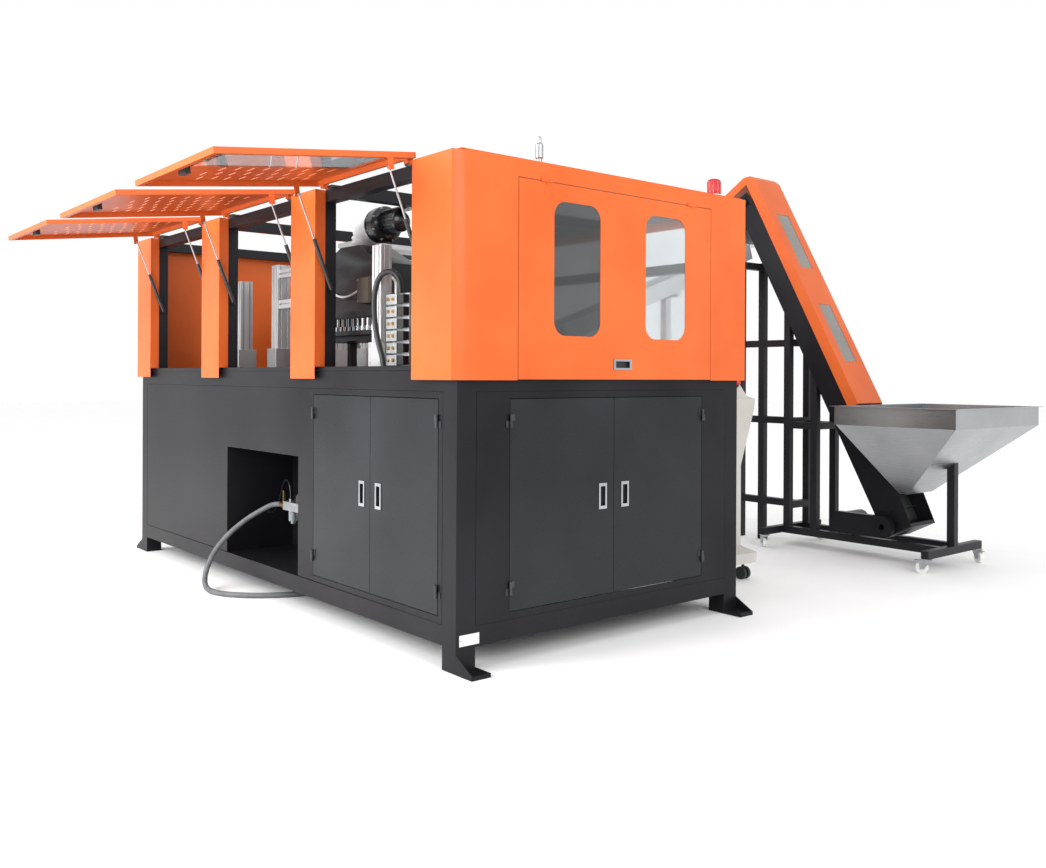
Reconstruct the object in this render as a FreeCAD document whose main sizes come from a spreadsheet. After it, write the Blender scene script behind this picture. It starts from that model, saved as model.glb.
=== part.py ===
"""Linear stretch blow moulding machine with its preform elevator, sorter and operator console.

Millimetres. X runs along the machine, Y across it and Z up. The origin is the centre of the
four anchor bolts, on the floor. The three gull doors face -Y and the window end faces +X.
"""
import FreeCAD
import Part
import Sketcher
import math
import os
import re

SIZES = {
    # base cabinet
    "base_length": 3710, "base_width": 1800, "base_top": 1260, "leg_height": 100,
    "post_size": 100, "ring_height": 87, "ring_depth": 60, "bed_thickness": 20, "panel_sheet": 4,
    "foot_thickness": 18, "foot_reach": 107, "gusset_height": 60,
    "bolt_reach": 60, "bolt_inset": 50, "bolt_hole": 22,
    # recess for the air inlet
    "recess_start": -415, "recess_width": 885, "recess_floor": 190, "recess_top": 800,
    "recess_depth": 420, "recess_sheet": 3,
    # base doors
    "door_bottom": 220, "door_top": 1120, "door_depth": 20, "door_skin": 2, "door_gap": 3,
    "front_doors_start": 638, "front_doors_width": 1083, "end_doors_start": -621,
    "end_doors_width": 1239, "handle_width": 50, "handle_height": 118, "handle_bottom": 611,
    "handle_offset": 72, "handle_proud": 3, "handle_depth": 16,
    "hinge_radius": 7, "hinge_length": 56, "hinge_low": 290, "hinge_high": 1000,
    # orange covers
    "cover_proud": 27, "cover_bottom": 1200, "shell_top": 2140, "cover_sheet": 2,
    "pillar_width": 260, "bay_one": 885, "bay_two": 915, "bay_three": 865, "corner_start": 1557,
    "bevel_along": 34, "bevel_across": 60, "rear_opening_bottom": 1330, "rear_opening_top": 2040,
    # dark upper frame
    "frame_tube": 60, "frame_inset": 30,
    # gull doors
    "gull_inset": 10, "gull_rise": 2, "gull_near": 12, "gull_reach": 918, "gull_depth": 25,
    "gull_angle": 83, "gull_lip": 24, "slot_length": 84, "slot_width": 8, "slot_pitch": 66,
    "slot_column": 126, "gull_hinge_width": 60, "window_margin": 70, "window_sheet": 4,
    # gas struts
    "strut_side": 22, "strut_foot_in": 45, "strut_foot_down": 504, "strut_top_out": 137,
    "strut_top_down": 44, "strut_tube": 10, "strut_bore": 5, "strut_rod": 4.5,
    "strut_tube_length": 270, "strut_rod_length": 236, "strut_eye": 9, "pin_radius": 4,
    # window end lift door
    "lift_start": -600, "lift_width": 1250, "lift_bottom": 1204, "lift_top": 2060,
    "lift_depth": 22, "pane_start": -400, "pane_width": 280, "pane_pitch": 578,
    "pane_bottom": 1396, "pane_top": 1985, "pane_corner": 65, "lift_pin_radius": 4,
    # roof fittings
    "beacon_x": 1755, "beacon_y": 828, "silencer_x": 1775, "silencer_y": -397,
    # preform oven
    "oven_start": 100, "oven_length": 650, "oven_front": -600, "oven_depth": 240,
    "oven_bottom": 1400, "oven_top": 1800, "hood_height": 110, "duct_radius": 80,
    "chain_y": -650, "chain_low": 1425, "chain_high": 1545, "holder_pitch": 50,
    "chain_start": 150, "chain_length": 1330, "blower_beam": 830, "cable_box_start": 620,
    "cable_box_width": 120, "hood_collar": 100,
    # clamp and stretching unit
    "profile_size": 80, "portal_x": -390, "portal_span": 470, "portal_front": -640,
    "portal_depth": 460, "portal_top": 1870, "base_block": 115, "platen_y": 180,
    "platen_width": 520, "platen_height": 360, "tie_bar": 22, "mould_face": -350,
    "mould_depth": 130, "clamp_travel": 209,
    # elevator
    "slope_angle": 62.3, "elevator_y": 2942, "casing_width": 306, "casing_foot_x": 1597,
    "casing_foot_z": 157, "casing_depth": 150, "cover_depth": 230, "casing_length": 2560,
    "cover_start": 879, "casing_sheet": 3, "drum_radius": 35, "drum_depth": 75,
    "tail_drum_at": 90, "head_drum_at": 2640, "belt_sheet": 3, "cleat_height": 28,
    "cleat_pitch": 160, "shaft_radius": 12.5, "view_width": 140, "view_length": 465,
    "tube": 50,
    # hopper
    "hopper_left": 1413, "hopper_right": 2272, "hopper_near": 2392, "hopper_length": 1100,
    "hopper_rim": 1035, "hopper_skirt": 914, "hopper_outlet": 460, "outlet_x": 1696,
    "hopper_sheet": 2,
    # casters
    "caster_height": 93, "wheel_radius": 37.5, "wheel_width": 24, "caster_trail": 28,
    # sorter
    "sorter_x": 405, "sorter_foot_y": 905, "sorter_foot_z": 1490, "sorter_angle": 19.7,
    "sorter_length": 1990, "roller_radius": 22, "roller_pitch": 54, "sorter_half": 100,
    "tray_floor": 2230,
    # console
    "console_near": 1185, "console_width": 465, "console_front": 1419, "console_floor": 105,
    "screen_back": 107, "screen_rise": 136,
}

doc = FreeCAD.newDocument("blow_moulding_machine")
sheet = doc.addObject("Spreadsheet::Sheet", "Sizes")
for row, (alias, value) in enumerate(SIZES.items(), start=1):
    sheet.set(f"A{row}", alias)
    sheet.set(f"B{row}", str(value))
    sheet.setAlias(f"B{row}", alias)
doc.recompute()

NODES = []
VECTOR = {"x": FreeCAD.Vector(1, 0, 0), "y": FreeCAD.Vector(0, 1, 0), "z": FreeCAD.Vector(0, 0, 1)}
ALONG = {
    "x": FreeCAD.Rotation(VECTOR["y"], 90),
    "y": FreeCAD.Rotation(VECTOR["x"], -90),
    "z": FreeCAD.Rotation(),
}


def bound(words):
    """Turn words such as 'base_top - 20' into an expression on the sheet's cells."""
    return re.sub(r"[a-z]\w+", lambda word: f"Sizes.{word[0]}" if word[0] in SIZES else word[0], str(words))


def bind(piece, name, words):
    piece.setExpression(name, bound(words))


def number(words):
    """The present value of an expression on the sheet."""
    result = sheet.evalExpression(bound(words))
    return float(getattr(result, "Value", result))


def node(label, piece):
    piece.Label = label
    NODES.append(piece)
    return piece


def block(x, y, z):
    """A box between a low and a high value on each axis."""
    box = doc.addObject("Part::Box", "block")
    for side, axis, (low, high) in zip(("Length", "Width", "Height"), "xyz", (x, y, z)):
        bind(box, side, f"({high}) - ({low})")
        bind(box, f"Placement.Base.{axis}", low)
    return box


def rod(axis, centre, along, radius):
    """A round bar along one axis, between two values on it."""
    bar = doc.addObject("Part::Cylinder", "rod")
    bar.Placement = FreeCAD.Placement(FreeCAD.Vector(), ALONG[axis])
    bind(bar, "Radius", radius)
    bind(bar, "Height", f"({along[1]}) - ({along[0]})")
    places = dict(zip([name for name in "xyz" if name != axis], centre))
    places[axis] = along[0]
    for name, words in places.items():
        bind(bar, f"Placement.Base.{name}", words)
    return bar


def joined(*pieces):
    """Separate solids that share one node."""
    group = doc.addObject("Part::Compound", "group")
    group.Links = list(pieces)
    return group


def welded(*pieces, merge_faces=True):
    """Pieces fused into one solid, with the faces that lie in one plane merged."""
    weld = doc.addObject("Part::MultiFuse", "weld")
    weld.Shapes = list(pieces)
    weld.Refine = merge_faces
    return weld


def cut(base, *tools):
    """A piece with one or more tools taken out of it."""
    pocket = doc.addObject("Part::Cut", "cut")
    pocket.Base = base
    pocket.Tool = tools[0] if len(tools) == 1 else joined(*tools)
    return pocket


def outline(plane, points, low, high):
    """A polygon in the xz, yz or xy plane, thickened along the third axis from low to high."""
    body = doc.addObject("PartDesign::Body", "plate")
    sketch = body.newObject("Sketcher::SketchObject", "outline")
    role = plane.upper() + "_Plane"
    sketch.AttachmentSupport = [(face, "") for face in body.Origin.OriginFeatures if face.Role == role]
    sketch.MapMode = "FlatFace"
    corners = [FreeCAD.Vector(number(across), number(up), 0) for across, up in points]
    for corner, following in zip(corners, corners[1:] + corners[:1]):
        sketch.addGeometry(Part.LineSegment(corner, following))
    for side, (corner, words) in enumerate(zip(corners, points)):
        sketch.addConstraint(Sketcher.Constraint("Coincident", side, 2, (side + 1) % len(points), 1))
        for kind, place, word in (("DistanceX", corner.x, words[0]), ("DistanceY", corner.y, words[1])):
            row = sketch.addConstraint(Sketcher.Constraint(kind, side, 1, place))
            sketch.setExpression(f"Constraints[{row}]", bound(word))
    pad = body.newObject("PartDesign::Pad", "pad")
    pad.Profile = sketch
    bind(pad, "Length", f"({high}) - ({low})")
    third = (set("xyz") - set(plane)).pop()
    bind(body, f"Placement.Base.{third}", high if plane == "xz" else low)
    return body


def turned(piece, axis, angle, x="0", y="0", z="0"):
    """Turn a piece about an axis through its own origin, then move that origin to x, y, z."""
    piece = joined(piece)
    piece.Placement = FreeCAD.Placement(FreeCAD.Vector(), FreeCAD.Rotation(VECTOR[axis], 1))
    bind(piece, "Placement.Rotation.Angle", angle)
    for name, words in zip("xyz", (x, y, z)):
        bind(piece, f"Placement.Base.{name}", words)
    return piece


def rounded_block(x, y, z, radius):
    """A block thin along X whose four long corners are round in the YZ plane."""
    (y0, y1), (z0, z1) = y, z
    inner_y, inner_z = (f"{y0} + {radius}", f"{y1} - {radius}"), (f"{z0} + {radius}", f"{z1} - {radius}")
    corners = [rod("x", (at_y, at_z), x, radius) for at_y in inner_y for at_z in inner_z]
    return welded(block(x, inner_y, z), block(x, y, inner_z), *corners)


# ---------------------------------------------------------------- base cabinet
HALF_LENGTH = "base_length / 2"
HALF_WIDTH = "base_width / 2"


def mirrored_span(sign, inner, outer):
    """A span from inner to outer on the plus or minus side of zero."""
    return (inner, outer) if sign > 0 else (f"-({outer})", f"-({inner})")


def base_frame():
    """Corner posts, rings, stiffeners and the four feet, welded together."""
    pieces = []
    bed_under = "base_top - bed_thickness"
    for side_x in (-1, 1):
        post_x = mirrored_span(side_x, f"{HALF_LENGTH} - post_size", HALF_LENGTH)
        foot_x = mirrored_span(side_x, f"{HALF_LENGTH} - post_size", f"{HALF_LENGTH} + foot_reach")
        for side_y in (-1, 1):
            post_y = mirrored_span(side_y, f"{HALF_WIDTH} - post_size", HALF_WIDTH)
            pieces.append(block(post_x, post_y, ("foot_thickness", bed_under)))
            bolt = f"{side_x} * ({HALF_LENGTH} + bolt_reach)", f"{side_y} * ({HALF_WIDTH} - bolt_inset)"
            hole = rod("z", bolt, ("-1", "foot_thickness + 1"), "bolt_hole / 2")
            pieces.append(cut(block(foot_x, post_y, ("0", "foot_thickness")), hole))
            gusset_y = mirrored_span(side_y, f"{HALF_WIDTH} - foot_thickness / 2", HALF_WIDTH)
            pieces.append(outline("xz", [
                (f"{side_x} * ({HALF_LENGTH})", "foot_thickness"),
                (f"{side_x} * ({HALF_LENGTH} + foot_reach)", "foot_thickness"),
                (f"{side_x} * ({HALF_LENGTH})", "foot_thickness + gusset_height")], *gusset_y))
    for low, high in (("leg_height", "leg_height + ring_height"), (f"{bed_under} - ring_height", bed_under)):
        for side in (-1, 1):
            ring_y = mirrored_span(side, f"{HALF_WIDTH} - ring_depth", HALF_WIDTH)
            ring_x = mirrored_span(side, f"{HALF_LENGTH} - ring_depth", HALF_LENGTH)
            inner_x = (f"-{HALF_LENGTH} + post_size", f"{HALF_LENGTH} - post_size")
            inner_y = (f"-{HALF_WIDTH} + post_size", f"{HALF_WIDTH} - post_size")
            pieces.append(block(inner_x, ring_y, (low, high)))
            pieces.append(block(ring_x, inner_y, (low, high)))
    for at_x in ("recess_start - 90", "recess_start + recess_width + 30"):
        for side in (-1, 1):
            stiff_y = mirrored_span(side, f"{HALF_WIDTH} - ring_depth", f"{HALF_WIDTH} - panel_sheet")
            pieces.append(block((at_x, f"{at_x} + 60"), stiff_y,
                                ("leg_height + ring_height", f"{bed_under} - ring_height")))
        cross_y = (f"-{HALF_WIDTH} + ring_depth", f"{HALF_WIDTH} - ring_depth")
        pieces.append(block((at_x, f"{at_x} + 60"), cross_y, (f"{bed_under} - 60", bed_under)))
    return welded(*pieces)


node("base_frame", base_frame())

PANEL_Z = ("leg_height + ring_height", "base_top - bed_thickness - ring_height")
PANEL_X = (f"-{HALF_LENGTH} + post_size", f"{HALF_LENGTH} - post_size")
PANEL_Y = (f"-{HALF_WIDTH} + post_size", f"{HALF_WIDTH} - post_size")
FRONT_SKIN = (f"-{HALF_WIDTH}", f"-{HALF_WIDTH} + panel_sheet")
REAR_SKIN = (f"{HALF_WIDTH} - panel_sheet", HALF_WIDTH)
RIGHT_SKIN = (f"{HALF_LENGTH} - panel_sheet", HALF_LENGTH)
LEFT_SKIN = (f"-{HALF_LENGTH}", f"-{HALF_LENGTH} + panel_sheet")
DOOR_Z = ("door_bottom", "door_top")
RECESS_X = ("recess_start", "recess_start + recess_width")
RECESS_Z = ("recess_floor", "recess_top")


def grown(span, by):
    return f"{span[0]} - {by}", f"{span[1]} + {by}"


def through(span):
    """A span that runs well past both faces of a sheet."""
    return grown(span, 30)


FRONT_DOORS_X = ("front_doors_start", "front_doors_start + front_doors_width")
END_DOORS_Y = ("end_doors_start", "end_doors_start + end_doors_width")


def leaf_block(axis, edge, hand, low, high, reach):
    """Hinge leaf on a base panel or door: hand is +1 where it reaches toward greater values."""
    span = (edge, f"{edge} + {reach}") if hand > 0 else (f"{edge} - {reach}", edge)
    if axis == "x":
        face = (f"-{HALF_WIDTH} - 3", f"-{HALF_WIDTH}")
        return block(span, face, (low, high))
    face = (HALF_LENGTH, f"{HALF_LENGTH} + 3")
    return block(face, span, (low, high))


def knuckle(axis, edge, low, high):
    """Hinge barrel just proud of the cabinet, upright at a door's edge."""
    out = "hinge_radius + 1"
    centre = (edge, f"-{HALF_WIDTH} - ({out})") if axis == "x" else (f"{HALF_LENGTH} + {out}", edge)
    return rod("z", centre, (low, high), "hinge_radius")


def hinge_halves(axis, edge, hand, moving):
    """The door's upper halves, or the panel's lower halves, of the two hinges at one edge."""
    halves = []
    for bottom in ("hinge_low", "hinge_high"):
        middle, top = f"{bottom} + hinge_length / 2", f"{bottom} + hinge_length"
        low, high = (f"{middle} + 0.3", top) if moving else (bottom, middle)
        leaf = leaf_block(axis, edge, hand if moving else -hand, low, high, 24)
        halves.append(welded(knuckle(axis, edge, low, high), leaf))
    return halves


def front_panel():
    """Sheet with the openings for the double door and the recess."""
    return cut(block(PANEL_X, FRONT_SKIN, PANEL_Z),
               block(grown(FRONT_DOORS_X, "door_gap"), through(FRONT_SKIN), grown(DOOR_Z, "door_gap")),
               block(RECESS_X, through(FRONT_SKIN), RECESS_Z))


node("front_panel", front_panel())


def base_panels():
    """Recess tray, window end panel, rear panel, far end panel and the fixed hinge halves."""
    recess_y = (f"-{HALF_WIDTH} + panel_sheet", f"-{HALF_WIDTH} + recess_depth")
    tray = cut(block(grown(RECESS_X, "recess_sheet"), recess_y, grown(RECESS_Z, "recess_sheet")),
               block(RECESS_X, (f"{recess_y[0]} - 30", f"{recess_y[1]} - recess_sheet"), RECESS_Z))
    end = cut(block(RIGHT_SKIN, PANEL_Y, PANEL_Z),
              block(through(RIGHT_SKIN), grown(END_DOORS_Y, "door_gap"), grown(DOOR_Z, "door_gap")))
    hinges = []
    for axis, (left, right) in (("x", FRONT_DOORS_X), ("y", END_DOORS_Y)):
        hinges += hinge_halves(axis, left, 1, False) + hinge_halves(axis, right, -1, False)
    rear, far_end = block(PANEL_X, REAR_SKIN, PANEL_Z), block(LEFT_SKIN, PANEL_Y, PANEL_Z)
    return joined(tray, end, rear, far_end, *hinges)


node("base_panels", base_panels())
node("bed_plate", block((f"-{HALF_LENGTH}", HALF_LENGTH), (f"-{HALF_WIDTH}", HALF_WIDTH),
                        ("base_top - bed_thickness", "base_top")))


def base_door(label, axis, span, hand):
    """One pan-shaped leaf of a double door: hand is +1 when it hangs at the span's low edge."""
    middle = f"({span[0]} + {span[1]}) / 2"
    side = (span[0], f"{middle} - door_gap / 2") if hand > 0 else (f"{middle} + door_gap / 2", span[1])
    handle_centre = f"{middle} - {hand} * handle_offset"
    handle_side = (f"{handle_centre} - handle_width / 2", f"{handle_centre} + handle_width / 2")
    handle_z = ("handle_bottom", "handle_bottom + handle_height")
    grip_side, grip_z = grown(handle_side, "-10"), grown(handle_z, "-14")
    if axis == "x":
        depth = (f"-{HALF_WIDTH}", f"-{HALF_WIDTH} + door_depth")
        hollow = (f"-{HALF_WIDTH} + door_skin", f"-{HALF_WIDTH} + door_depth + 1")
        cup = (f"-{HALF_WIDTH} - handle_proud", f"-{HALF_WIDTH} + handle_depth")
        scoop = (f"{cup[0]} - 1", f"{cup[1]} - 2")
    else:
        depth = (f"{HALF_LENGTH} - door_depth", HALF_LENGTH)
        hollow = (f"{HALF_LENGTH} - door_depth - 1", f"{HALF_LENGTH} - door_skin")
        cup = (f"{HALF_LENGTH} - handle_depth", f"{HALF_LENGTH} + handle_proud")
        scoop = (f"{cup[0]} + 2", f"{cup[1]} + 1")

    def lay(across, deep, up):
        return block(across, deep, up) if axis == "x" else block(deep, across, up)

    pan = cut(lay(side, depth, DOOR_Z), lay(grown(side, "-door_skin"), hollow, grown(DOOR_Z, "-door_skin")),
              lay(handle_side, through(depth), handle_z))
    handle = cut(lay(handle_side, cup, handle_z), lay(grip_side, scoop, grip_z))
    hinges = hinge_halves(axis, span[0] if hand > 0 else span[1], hand, True)
    node(label, joined(pan, handle, *hinges))


base_door("front_door_left", "x", FRONT_DOORS_X, 1)
base_door("front_door_right", "x", FRONT_DOORS_X, -1)
base_door("end_door_left", "y", END_DOORS_Y, 1)
base_door("end_door_right", "y", END_DOORS_Y, -1)

# ---------------------------------------------------------------- air inlet in the recess
def air_service_unit():
    """Ball valve, filter with its hanging bowl and regulator, on a bracket from the recess wall."""
    back = f"-{HALF_WIDTH} + recess_depth - recess_sheet"
    bracket = block(("-60", "160"), ("-672", back), ("500", "506"))
    body = block(("-50", "150"), ("-728", "-672"), ("458", "506"))
    valve = rod("x", ("-700", "476"), ("150", "205"), 17)
    lever = block(("-96", "-84"), ("-706", "-694"), ("476", "560"))
    inlet = welded(rod("x", ("-700", "476"), ("-120", "-50"), 19), lever)
    bowl = welded(rod("z", ("20", "-700"), ("400", "458"), 24), rod("z", ("20", "-700"), ("385", "400"), 12))
    regulator = welded(rod("z", ("100", "-700"), ("506", "548"), 22),
                       rod("z", ("100", "-700"), ("548", "556"), 16))
    outlet = rod("z", ("-10", "-700"), ("506", "520"), 8)
    wall_fitting = rod("x", ("-640", "400"), ("recess_start", "recess_start + 16"), 8)
    return joined(bracket, body, valve, inlet, bowl, regulator, outlet, wall_fitting)


node("air_service_unit", air_service_unit())


def cord(label, route, radius):
    """A tube of straight runs joined by tangent arcs along a route of hand-placed points."""
    points = [FreeCAD.Vector(*point) for point in route]
    edges, start, radii = [], points[0], []
    for before, corner, after in zip(points, points[1:], points[2:]):
        inward, outward = (before - corner), (after - corner)
        half_turn = (math.pi - inward.getAngle(outward)) / 2
        setback = 0.45 * min(inward.Length, outward.Length)
        radii.append(setback / math.tan(half_turn))
        entry = corner + inward.normalize() * setback
        leave = corner + outward.normalize() * setback
        rise = setback * math.sin(half_turn) - radii[-1] * (1 - math.cos(half_turn))
        middle = (entry + leave) / 2
        mid_arc = middle + (corner - middle).normalize() * (radii[-1] * (1 - math.cos(half_turn)))
        edges += [Part.LineSegment(start, entry).toShape(), Part.Arc(entry, mid_arc, leave).toShape()]
        start = leave
    edges.append(Part.LineSegment(start, points[-1]).toShape())
    path = Part.Wire(edges)
    section = Part.Wire([Part.Circle(points[0], points[1] - points[0], radius).toShape()])
    tube_shape = path.makePipeShell([section], True, False, 1)
    expected = math.pi * radius**2 * path.Length
    print(f"{label}: length {path.Length:.0f}, smallest radius {min(radii):.0f}, "
          f"volume ratio {tube_shape.Volume / expected:.4f}")
    feature = doc.addObject("Part::Feature", label)
    feature.Shape = tube_shape
    return node(label, feature)


HOSE_ROUTE = [
    (-120, -700, 476), (-205, -700, 476), (-295, -745, 430), (-362, -832, 360), (-388, -925, 275),
    (-392, -995, 190), (-372, -1045, 100), (-310, -1078, 35), (-215, -1085, 15.3),
    (-95, -1050, 15.3), (15, -965, 15.3), (95, -855, 15.3), (150, -730, 15.3), (175, -600, 15.3),
]
TUBE_ROUTE = [
    (-10, -700, 520), (-10, -700, 572), (-45, -694, 612), (-102, -682, 622), (-160, -668, 600),
    (-208, -656, 556), (-248, -647, 504), (-290, -642, 452), (-340, -640, 400), (-399, -640, 400),
]
cord("air_hose", HOSE_ROUTE, 15)
cord("air_tube", TUBE_ROUTE, 4)


def hose_coupling():
    """Quick coupling on the hose's far end, lying under the machine."""
    end, before = FreeCAD.Vector(*HOSE_ROUTE[-1]), FreeCAD.Vector(*HOSE_ROUTE[-2])
    shell = Part.makeCylinder(end.z, 62, end, end - before)
    nose = Part.makeCylinder(9, 84, end, end - before)
    feature = doc.addObject("Part::Feature", "hose_coupling")
    feature.Shape = shell.fuse(nose).removeSplitter()
    return feature


node("hose_coupling", hose_coupling())


# ---------------------------------------------------------------- dark upper frame
COVER_LENGTH = "(base_length / 2 + cover_proud)"
COVER_WIDTH = "(base_width / 2 + cover_proud)"
BAYS = [
    ("corner_start - bay_three - pillar_width - bay_two - pillar_width - bay_one",
     "corner_start - bay_three - pillar_width - bay_two - pillar_width"),
    ("corner_start - bay_three - pillar_width - bay_two", "corner_start - bay_three - pillar_width"),
    ("corner_start - bay_three", "corner_start"),
]
FRAME_Y = (f"-{HALF_WIDTH} + frame_inset", f"-{HALF_WIDTH} + frame_inset + frame_tube")
BEAM_Z = ("shell_top - frame_tube", "shell_top")
END_POST_X = (f"{HALF_LENGTH} - frame_tube", HALF_LENGTH)
OVEN_MIDDLE_Y = "oven_front + oven_depth / 2"
BLOWER_BEAM_X = ("blower_beam", "blower_beam + frame_tube")


def opposite(span):
    return f"-({span[1]})", f"-({span[0]})"


def upper_frame():
    """Square-tube frame on the bed: posts beside each bay, top beams, rails and strut pins."""
    pieces = []
    long_x = (f"-{HALF_LENGTH}", HALF_LENGTH)
    inner_y = (FRAME_Y[1], f"-({FRAME_Y[1]})")
    post_z = ("base_top", BEAM_Z[0])
    front_posts = [END_POST_X, opposite(END_POST_X)]
    for left, right in BAYS:
        front_posts += [(f"{left} - frame_tube", left), (right, f"{right} + frame_tube")]
    pieces += [block(span, FRAME_Y, post_z) for span in front_posts]
    rear_posts = [END_POST_X, opposite(END_POST_X), ("-frame_tube / 2", "frame_tube / 2")]
    pieces += [block(span, opposite(FRAME_Y), post_z) for span in rear_posts]
    pieces += [block(long_x, FRAME_Y, BEAM_Z), block(long_x, opposite(FRAME_Y), BEAM_Z)]
    cross_beams = [END_POST_X, opposite(END_POST_X), BLOWER_BEAM_X]
    cross_beams.append((f"{BAYS[1][0]} - frame_tube", BAYS[1][0]))
    pieces += [block(span, inner_y, BEAM_Z) for span in cross_beams]
    rear_rail = (f"-{HALF_LENGTH} + frame_tube", f"{HALF_LENGTH} - frame_tube")
    pieces.append(block(rear_rail, opposite(FRAME_Y), ("1780", "1830")))
    for left, right in BAYS:
        for edge, hand in ((left, 1), (right, -1)):
            near, far = (edge, f"{edge} + {hand} * (strut_side + 12)")
            span = (near, far) if hand > 0 else (far, near)
            pieces.append(rod("x", (STRUT_FOOT_Y, STRUT_FOOT_Z), span, "pin_radius"))
    return welded(*pieces, merge_faces=False)


GULL_AXIS_Y = f"-{HALF_WIDTH} + gull_inset"
GULL_AXIS_Z = "shell_top + gull_rise"
STRUT_FOOT_Y = f"{GULL_AXIS_Y} + strut_foot_in"
STRUT_FOOT_Z = f"{GULL_AXIS_Z} - strut_foot_down"
node("upper_frame", upper_frame())


# ---------------------------------------------------------------- orange covers
COVER_Z = ("cover_bottom", "shell_top")


def front_covers():
    """Three folded pillar covers and the bevelled corner cover that reaches round to the end."""
    covers = []
    skin = (f"-{COVER_WIDTH}", f"-{COVER_WIDTH} + cover_sheet")
    wing = (f"-{COVER_WIDTH}", f"-{HALF_WIDTH} + frame_inset")
    above_bed = ("base_top", "shell_top")
    for left, _ in BAYS:
        start = f"{left} - pillar_width" if left is not BAYS[0][0] else f"-{COVER_LENGTH}"
        returns = [block((f"{left} - cover_sheet", left), wing, above_bed)]
        if left is not BAYS[0][0]:
            returns.append(block((start, f"{start} + cover_sheet"), wing, above_bed))
        covers.append(welded(block((start, left), skin, COVER_Z), *returns))
    outer = [("corner_start", f"-{COVER_WIDTH}"), (f"{COVER_LENGTH} - bevel_along", f"-{COVER_WIDTH}"),
             (COVER_LENGTH, f"-{COVER_WIDTH} + bevel_across"), (COVER_LENGTH, "lift_start - door_gap")]
    inner = [(f"{COVER_LENGTH} - cover_sheet", "lift_start - door_gap"),
             (f"{COVER_LENGTH} - cover_sheet", f"-{COVER_WIDTH} + bevel_across + 1"),
             (f"{COVER_LENGTH} - bevel_along - 1", f"-{COVER_WIDTH} + cover_sheet"),
             ("corner_start", f"-{COVER_WIDTH} + cover_sheet")]
    wrap = outline("xy", outer + inner, *COVER_Z)
    covers.append(welded(wrap, block(("corner_start", "corner_start + cover_sheet"), wing, above_bed)))
    return joined(*covers)


node("front_covers", front_covers())
LIFT_END = "lift_start + lift_width"
END_SKIN = (f"{COVER_LENGTH} - cover_sheet", COVER_LENGTH)


def fixed_covers():
    """Rear cover with its two openings, far end cover, header and strip beside the lift door, and roof."""
    rear_skin = (f"{COVER_WIDTH} - cover_sheet", COVER_WIDTH)
    rear = cut(block((f"-{COVER_LENGTH} + cover_sheet", f"{COVER_LENGTH} - cover_sheet"), rear_skin, COVER_Z),
               *[block(span, through(rear_skin), ("rear_opening_bottom", "rear_opening_top"))
                 for span in (("-1560", "-160"), ("160", "1560"))])
    far = block((f"-{COVER_LENGTH}", f"-{COVER_LENGTH} + cover_sheet"),
                (f"-{COVER_WIDTH} + cover_sheet", COVER_WIDTH), COVER_Z)
    header = block(END_SKIN, ("lift_start - door_gap", f"{LIFT_END} + door_gap"),
                   ("lift_top + door_gap", "shell_top"))
    strip = block(END_SKIN, (f"{LIFT_END} + door_gap", COVER_WIDTH), COVER_Z)
    knuckles = []
    for at_y in LIFT_HINGES:
        fixed = (f"{at_y}", f"{at_y} + 30")
        knuckles.append(rod("y", (LIFT_AXIS_X, LIFT_AXIS_Z), fixed, "lift_pin_radius"))
        leaf = block((COVER_LENGTH, f"{COVER_LENGTH} + 2"), fixed, (LIFT_AXIS_Z, f"{LIFT_AXIS_Z} + 16"))
        knuckles.append(leaf)
    end = welded(header, strip, *knuckles)
    roof = block(("corner_start + 30", f"{COVER_LENGTH} - cover_sheet - 1"),
                 (f"-{HALF_WIDTH}", HALF_WIDTH), ROOF_Z)
    return joined(rear, far, end, roof)


LIFT_AXIS_X = f"{COVER_LENGTH} + lift_pin_radius + 1"
LIFT_AXIS_Z = "lift_top + door_gap / 2"
LIFT_HINGES = ("lift_start + 120", "lift_start + lift_width - 180")
ROOF_Z = ("shell_top", "shell_top + 3")
node("fixed_covers", fixed_covers())
node("beacon", welded(rod("z", ("beacon_x", "beacon_y"), (ROOF_Z[1], f"{ROOF_Z[1]} + 30"), 40),
                      rod("z", ("beacon_x", "beacon_y"), (f"{ROOF_Z[1]} + 30", f"{ROOF_Z[1]} + 112"), 37)))
node("exhaust_silencer", welded(
    rod("z", ("silencer_x", "silencer_y"), (ROOF_Z[1], f"{ROOF_Z[1]} + 12"), 12),
    rod("z", ("silencer_x", "silencer_y"), (f"{ROOF_Z[1]} + 12", f"{ROOF_Z[1]} + 34"), 21),
    rod("z", ("silencer_x", "silencer_y"), (f"{ROOF_Z[1]} + 34", f"{ROOF_Z[1]} + 112"), 19),
    rod("z", ("silencer_x", "silencer_y"), (f"{ROOF_Z[1]} + 112", f"{ROOF_Z[1]} + 140"), 7)))


# ---------------------------------------------------------------- gull doors
def in_hinge_frame(piece, turn="0"):
    """Place a piece modelled about the gull hinge line, turned open by the given angle."""
    return turned(piece, "x", f"-({turn})", "0", GULL_AXIS_Y, GULL_AXIS_Z)


GULL_SHUT_IN = "gull_inset + 2"
GULL_Y = (f"-({GULL_SHUT_IN}) - gull_depth", f"-({GULL_SHUT_IN})")
GULL_Z = ("-gull_reach", "-gull_near")


def window_span(left, right):
    """The clear window fills the half of the door that is nearer the machine's end."""
    return f"({left} + {right}) / 2 + window_margin / 2", f"{right} - window_margin"


WINDOW_Z = ("-gull_reach + window_margin + 30", "-gull_near - window_margin - 20")


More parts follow.
